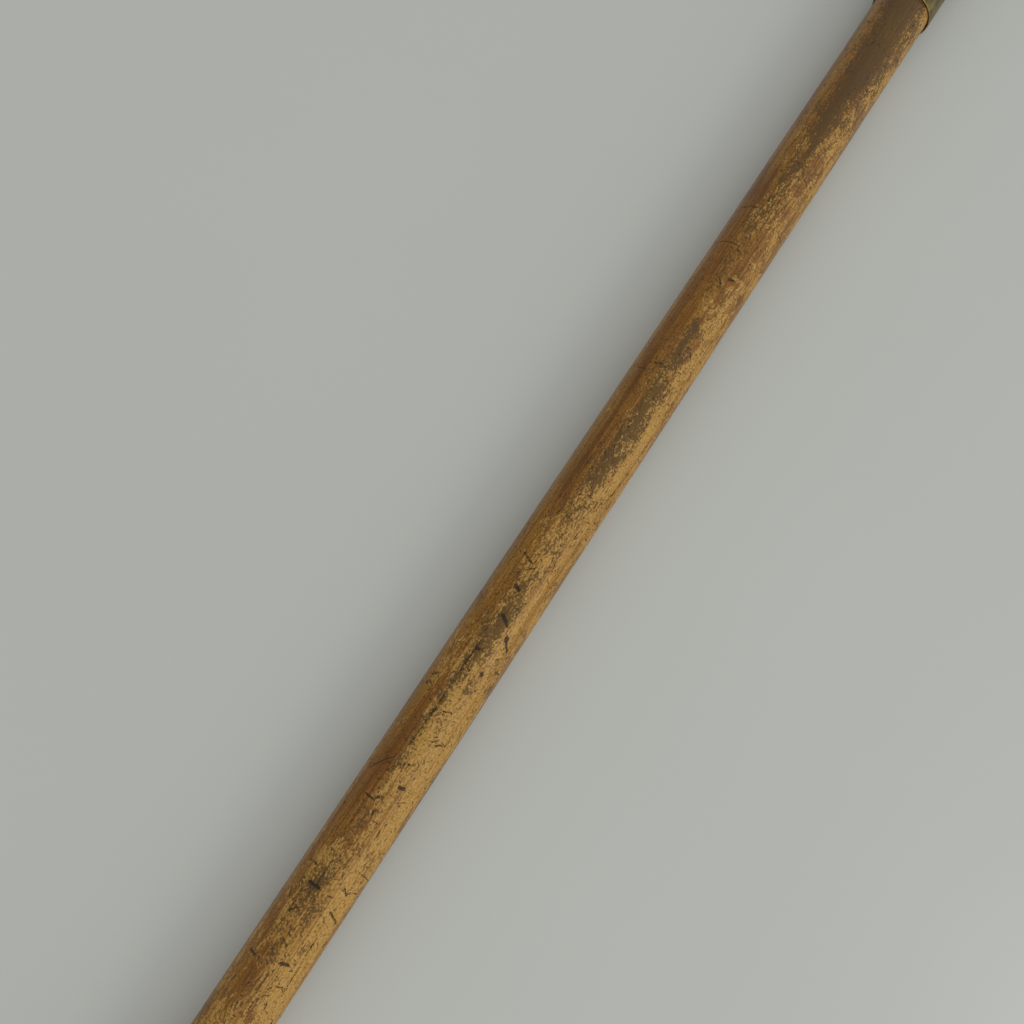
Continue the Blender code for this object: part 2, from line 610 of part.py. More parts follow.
def saw_head_section(frame, head, rod):
    """The forged socket and quadrant plate, its rivets and the pivot bolt."""
    rim_edge = SOCKET_RIM_EDGE
    rim_end = HEAD_BASE + SOCKET_RIM_LENGTH
    profile = [(0, NOSE_END)] + nose_profile() + [
        (SOCKET_R, rim_end + rim_edge), (GRIP_R - rim_edge, rim_end), (GRIP_R, rim_end - rim_edge),
        (GRIP_R, HEAD_BASE + rim_edge), (GRIP_R - rim_edge, HEAD_BASE), (SOCKET_BORE_R, HEAD_BASE),
        (SOCKET_BORE_R, NOSE_START), (0, NOSE_START)]
    saw_head = place(turned("saw_head", profile, IRON), frame)

    angle = lock_angle()
    slot_half = BOLT_DIAMETER / 2 + GAP
    fan_r = LOCK_RADIUS + PLATE_RIM
    margin = (WASHER_DIAMETER / 2 + PLATE_SLOT_MARGIN) / LOCK_RADIUS
    fan_low = angle - BLADE_SWING_BACK - margin
    fan_high = angle + BLADE_SWING_FORWARD + margin
    root = NOSE_START + PLATE_ROOT_SHARE * SOCKET_NOSE_LENGTH - PIVOT
    waist = -PLATE_WAIST_SHARE * fan_r
    outline = [(root, PLATE_ROOT_WIDTH / 2), (root, -PLATE_ROOT_WIDTH / 2), (waist, -PLATE_BACK_MARGIN)]
    outline += arc((0, 0), fan_r, fan_low, fan_high)
    outline.append((waist, PLATE_BACK_MARGIN))
    quadrant = plate("join_quadrant", [rounded(outline, PLATE_CORNER)], PLATE_THICKNESS)
    bevel = quadrant.modifiers.new("edge", "BEVEL")
    bevel.width = PLATE_BEVEL
    bevel.segments = 2
    bevel.limit_method = "ANGLE"
    bevel.angle_limit = BEVEL_ANGLE
    boolean(saw_head, place(cutter(quadrant), head), "UNION")

    slot_low = angle - BLADE_SWING_BACK
    slot_high = angle + BLADE_SWING_FORWARD
    low_end = (LOCK_RADIUS * math.cos(slot_low), LOCK_RADIUS * math.sin(slot_low))
    high_end = (LOCK_RADIUS * math.cos(slot_high), LOCK_RADIUS * math.sin(slot_high))
    slot = arc((0, 0), LOCK_RADIUS + slot_half, slot_low, slot_high)
    slot += arc(high_end, slot_half, slot_high, slot_high + math.pi)[1:-1]
    slot += arc((0, 0), LOCK_RADIUS - slot_half, slot_high, slot_low)
    slot += arc(low_end, slot_half, slot_low + math.pi, slot_low + 2 * math.pi)[1:-1]
    cut_depth = PLATE_THICKNESS + 2 * CUT_MARGIN
    slot_cutter = plate("cut_lock_slot", [slot], cut_depth)
    boolean(saw_head, place(cutter(slot_cutter), head))
    neck_cutter = plate("cut_pivot_neck", [square((0, 0), BOLT_NECK + 2 * GAP)], cut_depth)
    boolean(saw_head, place(cutter(neck_cutter), head))

    rivet_r = HEAD_RIVET_DIAMETER / 2
    seat = SOCKET_R + GAP
    for end, setback in (("rear", HEAD_RIVET_REAR), ("front", HEAD_RIVET_FRONT)):
        station = (0, 0, HEAD_BASE + setback)
        pin = rivet(f"head_rivet_{end}", rivet_r, -seat, seat, RIVET_HEAD_SHARE * rivet_r,
                    HEAD_RIVET_HEAD_HEIGHT)
        place(pin, frame, station, ACROSS_POLE)
        hole = cylinder_cutter(f"cut_head_rivet_{end}", rivet_r + GAP, -GRIP_R, GRIP_R, frame,
                               station, ACROSS_POLE)
        boolean(saw_head, hole)
        boolean(rod, hole)
    place(carriage_bolt("pivot_bolt", BOLT_SHOULDER_DIAMETER, BLADE_TOP, PLATE_FACE), head)


def carriage_bolt(name, shoulder, shoulder_top, neck_top):
    """A round-headed bolt: head under the blade, a shoulder or square neck, then a plain thread."""
    head_r = BOLT_HEAD_DIAMETER / 2
    shank = BOLT_DIAMETER / 2
    head_top = BLADE_BOTTOM - GAP
    top = NUT_BOTTOM + NUT_HUB_HEIGHT + BOLT_END
    dome = [(head_r * math.cos(a), head_top - BOLT_HEAD_HEIGHT * math.sin(a))
            for a in [math.radians(angle) for angle in (8, 30, 60, 90)]]
    profile = [(0, top), (shank - BOLT_CHAMFER, top), (shank, top - BOLT_CHAMFER)]
    if shoulder:
        profile += [(shank, shoulder_top), (shoulder / 2, shoulder_top), (shoulder / 2, head_top)]
    else:
        profile += [(shank, head_top)]
    profile += [(head_r, head_top)] + dome
    bolt = turned(name, profile, STEEL, segments=SMALL_SEGMENTS)
    neck_low = head_top - BOLT_HEAD_HEIGHT / 4
    neck = plate(f"join_{name}_neck", [square((0, 0), BOLT_NECK)], neck_top - neck_low)
    neck.data.transform(Matrix.Translation((0, 0, (neck_low + neck_top) / 2)))
    boolean(bolt, place(cutter(neck), bolt), "UNION")
    return bolt


def blade_point(distance, offset):
    """A point beside the blade's curved centre line, as (along the pole, towards the toothed side)."""
    angle = BLADE_HEEL_ANGLE + distance / BLADE_CURVE_RADIUS
    x = BLADE_CURVE_RADIUS * (math.sin(angle) - math.sin(BLADE_HEEL_ANGLE))
    reach = BLADE_CURVE_RADIUS * (math.cos(BLADE_HEEL_ANGLE) - math.cos(angle))
    return x - offset * math.sin(angle), reach + offset * math.cos(angle)


def half_width(distance):
    """Half of the blade's width at a distance along its centre line."""
    share = distance / BLADE_LENGTH
    return (BLADE_HEEL_WIDTH + (BLADE_TIP_WIDTH - BLADE_HEEL_WIDTH) * share) / 2


def blade_outline():
    """The blade's outline: round heel, smooth back, hooked tip and pull teeth."""
    heel_start = BLADE_HEEL_ANGLE + math.pi / 2
    points = arc((0, 0), BLADE_HEEL_WIDTH / 2, heel_start, heel_start + math.pi)
    for step in range(1, BLADE_BACK_STEPS + 1):
        distance = BLADE_LENGTH * step / BLADE_BACK_STEPS
        points.append(blade_point(distance, -half_width(distance)))
    tip = BLADE_TIP_WIDTH / 2
    for forward, offset in TIP_ROUND:
        points.append(blade_point(BLADE_LENGTH + forward * tip, offset * tip))
    for forward, out in (TIP_HOOK_POINT, TIP_HOOK_THROAT):
        points.append(blade_point(BLADE_LENGTH + forward * tip, tip + out * TIP_HOOK_LENGTH))
    points.append(blade_point(BLADE_LENGTH + TIP_HOOK_ROOT * tip, tip - TOOTH_DEPTH))
    teeth = int((BLADE_LENGTH - LAST_TOOTH_SETBACK * tip - TOOTH_START) / TOOTH_PITCH)
    for number in reversed(range(teeth)):
        gullet = TOOTH_START + number * TOOTH_PITCH
        point = gullet + TOOTH_RISE * TOOTH_PITCH
        if number == teeth - 1:
            end = gullet + TOOTH_PITCH
            points.append(blade_point(end, half_width(end) - TOOTH_DEPTH))
        points.append(blade_point(point, half_width(point)))
        points.append(blade_point(gullet, half_width(gullet) - TOOTH_DEPTH))
    points.append(blade_point(TOOTH_START - TOOTH_DEPTH, half_width(TOOTH_START)))
    points.append(blade_point(TOOTH_START / 2, half_width(TOOTH_START / 2)))
    return [(x, -reach) for x, reach in points]


def resting_roll():
    """The head's roll that lets the blade's hook touch the surface that the grips lie on."""
    reach = max(-y for _, y in blade_outline())
    depth = -BLADE_BOTTOM
    return math.asin(GRIP_R / math.hypot(reach, depth)) - math.atan2(depth, reach)


def blade_section(head):
    """The blade and the lock bolt that turn together about the pivot bolt."""
    axis = make_frame("blade_axis", parent=head)
    lock = (LOCK_RADIUS * math.cos(lock_angle()), LOCK_RADIUS * math.sin(lock_angle()))
    loops = [blade_outline(), circle((0, 0), BOLT_SHOULDER_DIAMETER / 2 + GAP),
             square(lock, BOLT_NECK + 2 * GAP, lock_angle())]
    blade = plate("saw_blade", loops, BLADE_THICKNESS, BLADE_STEEL)
    place(blade, axis, (0, 0, (BLADE_TOP + BLADE_BOTTOM) / 2))
    bolt = carriage_bolt("lock_bolt", None, BLADE_TOP, BLADE_TOP)
    place(bolt, axis, (*lock, 0), (0, 0, lock_angle()))
    return axis, lock


def nut_and_washer(name, parent, centre, angle):
    """A washer and a wing nut on one of the blade's bolts."""
    bore = BOLT_DIAMETER / 2 + GAP
    washer_r = WASHER_DIAMETER / 2
    washer_axis = make_frame(f"{name}_washer_axis", (*centre, 0), parent=parent)
    ring = [(washer_r, WASHER_THICKNESS), (washer_r, 0), (bore, 0), (bore, WASHER_THICKNESS)]
    washer = turned(f"{name}_washer", ring, STEEL, ring=True, segments=SMALL_SEGMENTS)
    place(washer, washer_axis, (0, 0, WASHER_BOTTOM))

    nut_axis = make_frame(f"{name}_nut_axis", parent=washer_axis)
    hub_r = NUT_HUB_DIAMETER / 2
    hub = [(0, NUT_HUB_HEIGHT), (HUB_TOP_SHARE * hub_r, NUT_HUB_HEIGHT),
           (HUB_SHOULDER_SHARE * hub_r, NUT_HUB_HEIGHT - NUT_EDGE), (hub_r, NUT_FOOT),
           (hub_r, NUT_EDGE), (hub_r - NUT_EDGE, 0), (0, 0)]
    nut = turned(f"{name}_wing_nut", hub, STEEL, segments=SMALL_SEGMENTS)
    place(nut, nut_axis, (0, 0, NUT_BOTTOM), (0, 0, angle))
    ears = wings(f"join_{name}_wings", NUT_WING_SPAN, NUT_WING_HEIGHT, NUT_WING_THICKNESS,
                 hub_r, NUT_HUB_HEIGHT)
    boolean(nut, place(cutter(ears), nut), "UNION")
    nut_bore = cylinder_cutter(f"cut_{name}_nut_bore", bore, -CUT_MARGIN,
                               NUT_WING_HEIGHT + CUT_MARGIN, nut)
    boolean(nut, nut_bore)


def build():
    """Build the whole pole saw."""
    lower_pole = make_frame("lower_pole", rotation=ALONG_POLE)
    slide = make_frame("pole_slide_axis", parent=lower_pole)
    upper_pole = make_frame("pole_turn_axis", parent=slide)
    tube = handle_section(lower_pole)
    ferrule = ferrule_section(lower_pole, tube)
    clamp_section(lower_pole, ferrule)
    rod = wooden_pole_section(upper_pole, slide)
    head = make_frame("saw_head_frame", (0, 0, PIVOT), UPRIGHT_IN_POLE, upper_pole)
    head_roll = make_frame("saw_head_roll", rotation=(resting_roll(), 0, 0), parent=head)
    saw_head_section(upper_pole, head_roll, rod)
    blade_axis, lock = blade_section(head_roll)
    nut_and_washer("pivot", head_roll, (0, 0), PIVOT_WING_ANGLE)
    nut_and_washer("lock", blade_axis, lock, LOCK_WING_ANGLE)


clear_scene()
PARTS = make_collection("pole_saw")
CUTTERS = make_collection("pole_saw_cutters")
WOOD = make_material("varnished_wood", (0.32, 0.17, 0.055), 0.35, 0.0)
BRASS = make_material("aged_brass", (0.20, 0.16, 0.07), 0.45, 1.0)
PAINT = make_material("green_paint", (0.03, 0.075, 0.045), 0.4, 0.0)
RUBBER = make_material("black_rubber", (0.02, 0.02, 0.02), 0.8, 0.0)
IRON = make_material("forged_iron", (0.045, 0.042, 0.04), 0.6, 0.8)
STEEL = make_material("zinc_steel", (0.38, 0.37, 0.34), 0.4, 1.0)
BLADE_STEEL = make_material("blade_steel", (0.42, 0.41, 0.39), 0.35, 1.0)
build()
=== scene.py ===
"""The looks of a telescoping pole saw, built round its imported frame.

The wooden upper pole, its brass mouth ferrule, the enamelled handle tube with its rubber grips
and the saw head are modelled here in full detail. Every size is read from the frame or named in
the class of the sub-assembly that it belongs to.
"""

import json
import logging
import math
from dataclasses import dataclass
from enum import Enum
from functools import cache
from typing import Optional, Sequence

import bmesh
import bpy
import numpy as np
from mathutils import Matrix, Vector, noise


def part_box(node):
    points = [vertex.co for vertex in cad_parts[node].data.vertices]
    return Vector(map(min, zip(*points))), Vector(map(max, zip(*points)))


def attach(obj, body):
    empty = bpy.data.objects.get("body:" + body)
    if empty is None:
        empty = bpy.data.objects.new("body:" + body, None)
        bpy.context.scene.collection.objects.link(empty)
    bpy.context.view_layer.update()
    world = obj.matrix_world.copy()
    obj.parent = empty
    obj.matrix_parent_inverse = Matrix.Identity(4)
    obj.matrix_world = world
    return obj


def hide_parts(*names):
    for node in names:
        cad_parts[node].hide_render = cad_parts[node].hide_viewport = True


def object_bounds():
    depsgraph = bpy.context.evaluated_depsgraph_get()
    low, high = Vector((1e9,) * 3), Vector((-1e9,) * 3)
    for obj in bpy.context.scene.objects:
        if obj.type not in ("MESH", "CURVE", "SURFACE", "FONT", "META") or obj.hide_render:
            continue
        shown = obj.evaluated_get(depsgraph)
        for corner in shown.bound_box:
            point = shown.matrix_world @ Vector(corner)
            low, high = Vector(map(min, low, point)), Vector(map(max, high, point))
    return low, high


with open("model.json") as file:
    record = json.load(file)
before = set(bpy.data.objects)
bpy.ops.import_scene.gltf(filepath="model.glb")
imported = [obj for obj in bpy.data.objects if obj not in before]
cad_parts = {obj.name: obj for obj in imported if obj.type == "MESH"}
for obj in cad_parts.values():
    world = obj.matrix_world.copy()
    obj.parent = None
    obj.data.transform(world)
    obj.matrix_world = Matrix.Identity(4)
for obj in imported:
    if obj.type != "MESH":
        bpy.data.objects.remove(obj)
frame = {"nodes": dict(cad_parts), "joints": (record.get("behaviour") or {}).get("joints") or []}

LOG = logging.getLogger("pole_saw")
MM = 0.001
CAD_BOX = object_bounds()
MERGE = 1e-6
SHARP_ANGLE = math.radians(38.0)
EASE_STEPS = 3
FIT_GAP = 0.3 * MM
FULL_TURN = 6.283
SHORTEST_NICK = 0.35
FLAT_CORNER = math.radians(85.0)
FLATTEN_ANGLE = math.radians(1.0)

Point = tuple[float, float]
Triple = tuple[float, float, float]
Colour = Triple
Inputs = dict[str, bpy.types.NodeSocket]


class Axis(Enum):
    """The lines that round pieces are turned about."""

    POLE = "pole"
    CLAMP = "clamp_shoe_slide"
    PIVOT = "blade_tilt"
    LOCK = "lock_washer_slide"

    @property
    def origin(self) -> Vector:
        """A point on the line."""
        if self is Axis.POLE:
            return Vector((0.0, 0.0, 0.0))
        return Vector(joint_named(self.value)["pos_m"])

    @property
    def direction(self) -> Vector:
        """The line's direction."""
        if self is Axis.POLE:
            return Vector((1.0, 0.0, 0.0))
        return Vector(joint_named(self.value)["axis"]).normalized()


class Mark(Enum):
    """What a point's attribute says about the wooden pole."""

    SCAR = "scar"
    # Wear, and painted side shading: darker down the pole's -Y side, paler down its +Y side.
    BARE = "bare"
    # Grime, and painted shade on the wood next to the ferrule's mouth.
    GRIME = "grime"


class Effect(Enum):
    """The patterns that more than one finish uses."""

    GRAIN = "long_grain"
    NICKS = "nick_strokes"
    EDGE_WEAR = "edge_wear"
    DUST = "settled_dust"


def joint_named(name: str) -> dict:
    """Find a joint of the frame.

    Args:
        name: the joint's name.

    Returns:
        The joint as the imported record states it.
    """
    return next(joint for joint in frame["joints"] if joint["name"] == name)


def linear(red: int, green: int, blue: int) -> Colour:
    """Turn a display colour into the linear values that shaders take.

    Args:
        red: red, 0 to 255.
        green: green, 0 to 255.
        blue: blue, 0 to 255.

    Returns:
        The three linear values.
    """
    shares = [channel / 255 for channel in (red, green, blue)]
    return tuple(s / 12.92 if s <= 0.04045 else ((s + 0.055) / 1.055) ** 2.4 for s in shares)


# ---------------------------------------------------------------- measures


@dataclass(frozen=True)
class Span:
    """Where a node lies along an axis, and how near and far it reaches from it."""

    start: float
    end: float
    inner: float
    outer: float

    @property
    def length(self) -> float:
        """How long the node is along the axis."""
        return self.end - self.start

    @property
    def corners(self) -> list[Point]:
        """The corners of its section beside the axis."""
        inside = [(self.inner, self.start), (self.inner, self.end)]
        return inside + [(self.outer, self.end), (self.outer, self.start)]

    @classmethod
    def of(cls, node: str, axis: Axis = Axis.POLE) -> "Span":
        """Measure a node about an axis.

        Args:
            node: the CAD node's name.
            axis: the line to measure about.

        Returns:
            The node's span.
        """
        offsets = points_of(node) - np.array(axis.origin)
        line = np.array(axis.direction)
        along = offsets @ line
        reach = np.linalg.norm(offsets - np.outer(along, line), axis=1)
        return cls(float(along.min()), float(along.max()), float(reach.min()), float(reach.max()))


def points_of(node: str) -> np.ndarray:
    """Read a CAD node's vertices.

    Args:
        node: the node's name.

    Returns:
        An array with a row for each vertex, in metres.
    """
    mesh = frame["nodes"][node].data
    flat = np.empty(len(mesh.vertices) * 3, np.float32)
    mesh.vertices.foreach_get("co", flat)
    return flat.reshape(-1, 3).astype(float)


def seat(axis: Axis, across: Optional[Vector] = None) -> Matrix:
    """The placing that turns a shape's own Z into an axis.

    Args:
        axis: the line that becomes the shape's Z.
        across: the direction that the shape's X should face, as nearly as it can.

    Returns:
        The placing matrix.
    """
    z = axis.direction
    hint = across if across is not None else Vector((0.0, 0.0, 1.0))
    if abs(hint.normalized().dot(z)) > 0.98:
        hint = Vector((1.0, 0.0, 0.0))
    x = (hint - z * hint.dot(z)).normalized()
    turned = Matrix((x, z.cross(x), z)).transposed().to_4x4()
    return Matrix.Translation(axis.origin) @ turned


def farthest(node: str, axis: Axis) -> Vector:
    """The direction from an axis to the point of a node that lies farthest from it.

    Args:
        node: the node's name.
        axis: the line to start from.

    Returns:
        A unit vector square to the axis.
    """
    offsets = points_of(node) - np.array(axis.origin)
    line = np.array(axis.direction)
    reach = offsets - np.outer(offsets @ line, line)
    return Vector(reach[np.linalg.norm(reach, axis=1).argmax()]).normalized()


# ---------------------------------------------------------------- shapes


def eased(points: Sequence[Point], radius: float, ring: bool = False) -> list[Point]:
    """Round the corners of a profile.

    Args:
        points: the profile's corners.
        radius: the rounding, made smaller where a side is short.
        ring: whether the profile closes on itself.

    Returns:
        The profile with an arc in place of each corner.
    """
    result: list[Point] = []
    count = len(points)
    for index, point in enumerate(points):
        here = Vector(point)
        if not ring and index in (0, count - 1):
            result.append(point)
            continue
        before = Vector(points[index - 1]) - here
        after = Vector(points[(index + 1) % count]) - here
        half = before.angle(after) / 2
        if half > FLAT_CORNER:
            result.append(point)
            continue
        reach = min(radius / math.tan(half), 0.45 * before.length, 0.45 * after.length)
        first = here + before.normalized() * reach
        last = here + after.normalized() * reach
        for step in range(EASE_STEPS + 1):
            share = step / EASE_STEPS
            curve = first * (1 - share) ** 2 + here * 2 * share * (1 - share) + last * share ** 2
            result.append((curve.x, curve.y))
    return result


def turned(profile: Sequence[Point], segments: int = 96, ring: bool = False) -> bmesh.types.BMesh:
    """Spin a profile of (radius, height) points about Z.

    Args:
        profile: the points, in order.
        segments: how many flats make the round.
        ring: whether the profile closes on itself.

    Returns:
        A closed bmesh with its faces outwards.
    """
    shape = bmesh.new()
    verts = [shape.verts.new((radius, 0.0, height)) for radius, height in profile]
    pairs = list(zip(verts, verts[1:]))
    if ring:
        pairs.append((verts[-1], verts[0]))
    edges = [shape.edges.new(pair) for pair in pairs]
    bmesh.ops.spin(shape, geom=verts + edges, cent=(0, 0, 0), axis=(0, 0, 1),
                   angle=2 * math.pi, steps=segments, use_merge=True)
    return cleaned(shape)


def stepped(profile: Sequence[Point], step: float, margin: float = 0.7 * MM) -> list[Point]:
    """Add points along the long straight sides of a closed profile.

    Args:
        profile: the profile's corners, the last joined to the first.
        step: the longest side that stays whole.
        margin: how far from each corner the first added point lies.

    Returns:
        The profile with the added points.
    """
    result: list[Point] = []
    for point, following in zip(profile, [*profile[1:], profile[0]]):
        result.append(point)
        start, end = Vector(point), Vector(following)
        length = (end - start).length
        if length < step:
            continue
        count = math.ceil((length - 2 * margin) / step)
        for number in range(count + 1):
            share = (margin + (length - 2 * margin) * number / count) / length
            added = start.lerp(end, share)
            result.append((added.x, added.y))
    return result


def cleaned(shape: bmesh.types.BMesh) -> bmesh.types.BMesh:
    """Merge doubles and point the faces outwards.

    Args:
        shape: the bmesh to mend.

    Returns:
        The same bmesh.
    """
    bmesh.ops.remove_doubles(shape, verts=shape.verts, dist=MERGE)
    bmesh.ops.dissolve_degenerate(shape, edges=shape.edges, dist=MERGE)
    bmesh.ops.recalc_face_normals(shape, faces=shape.faces)
    return shape


def slab(outline: Sequence[Point], low: float, high: float, edge: float = 0.0) -> bmesh.types.BMesh:
    """Raise a flat outline into a plate along Z.

    Args:
        outline: the outline's corners.
        low: the lower face's height.
        high: the upper face's height.
        edge: the rounding of its edges.

    Returns:
        A closed bmesh with its faces outwards.
    """
    shape = bmesh.new()
    face = shape.faces.new([shape.verts.new((x, y, low)) for x, y in outline])
    raised = bmesh.ops.extrude_face_region(shape, geom=[face], use_keep_orig=True)
    moved = [item for item in raised["geom"] if isinstance(item, bmesh.types.BMVert)]
    bmesh.ops.translate(shape, verts=moved, vec=(0, 0, high - low))
    bmesh.ops.recalc_face_normals(shape, faces=shape.faces)
    if edge:
        rims = [e for e in shape.edges if abs(e.verts[0].co.z - e.verts[1].co.z) < MERGE]
        bmesh.ops.bevel(shape, geom=rims, offset=edge, segments=3, profile=0.5,
                        affect="EDGES", material=-1, clamp_overlap=True)
    return shape


def thread_ridge(root: float, crest: float, pitch: float, low: float, high: float,
                 steps: int = 20) -> bmesh.types.BMesh:
    """A screw thread's ridge, wound about Z.

    Args:
        root: the radius that the ridge stands on.
        crest: the ridge's outer radius.
        pitch: the rise in one turn.
        low: where the thread starts.
        high: where it ends.
        steps: flats in a turn.

    Returns:
        A closed bmesh of the ridge.
    """
    shape = bmesh.new()
    sunk = root - 0.2 * MM
    corners = ((sunk, -0.44 * pitch), (crest, -0.06 * pitch), (crest, 0.06 * pitch), (sunk, 0.44 * pitch))
    start = low + 0.5 * pitch
    verts = [shape.verts.new((radius, 0.0, start + rise)) for radius, rise in corners]
    edges = [shape.edges.new((verts[i], verts[(i + 1) % 4])) for i in range(4)]
    turns = (high - low - pitch) / pitch
    count = max(4, round(turns * steps))
    bmesh.ops.spin(shape, geom=verts + edges, cent=(0, 0, 0), axis=(0, 0, 1),
                   dvec=(0, 0, turns * pitch / count), angle=2 * math.pi * turns, steps=count)
    bmesh.ops.holes_fill(shape, edges=[e for e in shape.edges if e.is_boundary], sides=4)
    bmesh.ops.recalc_face_normals(shape, faces=shape.faces)
    return shape


def joined(*shapes: bmesh.types.BMesh) -> bmesh.types.BMesh:
    """Put several bmeshes into the first of them.

    Args:
        shapes: the bmeshes; all but the first are used up.

    Returns:
        The first bmesh.
    """
    whole = shapes[0]
    for other in shapes[1:]:
        carrier = bpy.data.meshes.new("carrier")
        other.to_mesh(carrier)
        other.free()
        whole.from_mesh(carrier)
        bpy.data.meshes.remove(carrier)
    return whole


def merged_copy(node: str) -> bmesh.types.BMesh:
    """Copy a CAD node's mesh with its loose triangles joined and its flats made whole.

    Args:
        node: the node's name.

    Returns:
        The copy as a bmesh.
    """
    shape = bmesh.new()
    shape.from_mesh(frame["nodes"][node].data)
    bmesh.ops.remove_doubles(shape, verts=shape.verts, dist=MERGE)
    bmesh.ops.dissolve_limit(shape, angle_limit=FLATTEN_ANGLE, verts=shape.verts, edges=shape.edges)
    bmesh.ops.recalc_face_normals(shape, faces=shape.faces)
    return shape


def dome(radius: float, base: float, rise: float, steps: int = 7) -> list[Point]:
    """Profile points of a dome, from its crown down to its rim.

    Args:
        radius: the rim's radius.
        base: the rim's height.
        rise: how far the crown stands over the rim; below it if negative.
        steps: how many steps the curve takes.

    Returns:
        The points as (radius, height).
    """
    angles = [math.pi / 2 * (1 - step / steps) for step in range(steps + 1)]
    return [(radius * math.cos(a), base + rise * math.sin(a)) for a in angles]


def put(name: str, shape: bmesh.types.BMesh, finish: "Finish", body: str,
        nodes: Sequence[str] = (), place: Optional[Matrix] = None,
        sharp: float = SHARP_ANGLE) -> bpy.types.Object:
    """Make a finished piece of a bmesh and seat it in the frame.

    Args:
        name: the piece's name.
        shape: its bmesh, which is used up.
        finish: the finish that it is dressed in.
        body: the body that it rides on.
        nodes: the CAD nodes that it stands for.
        place: where its own origin and axes go.
        sharp: the angle past which an edge stays sharp.

    Returns:
        The new object.
    """
    if place is not None:
        shape.transform(place)
    mesh = bpy.data.meshes.new(name)
    shape.to_mesh(mesh)
    shape.free()
    mesh.shade_smooth()
    mesh.set_sharp_from_angle(angle=sharp)
    mesh.materials.append(finish.material())
    piece = bpy.data.objects.new(name, mesh)
    bpy.context.scene.collection.objects.link(piece)
    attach(piece, body)
    if nodes:
        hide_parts(*nodes)
    LOG.info("%s: %d faces on %s", name, len(mesh.polygons), body)
    return piece


def dress(node: str, finish: "Finish") -> None:
    """Give a CAD node that keeps its own shape a finish.

    Args:
        node: the node's name.
        finish: the finish that its material slots take.
    """
    mesh = frame["nodes"][node].data
    mesh.materials.clear()
    mesh.materials.append(finish.material())
    LOG.info("%s keeps its shape, in %s", node, finish.slot)


# ---------------------------------------------------------------- shader trees


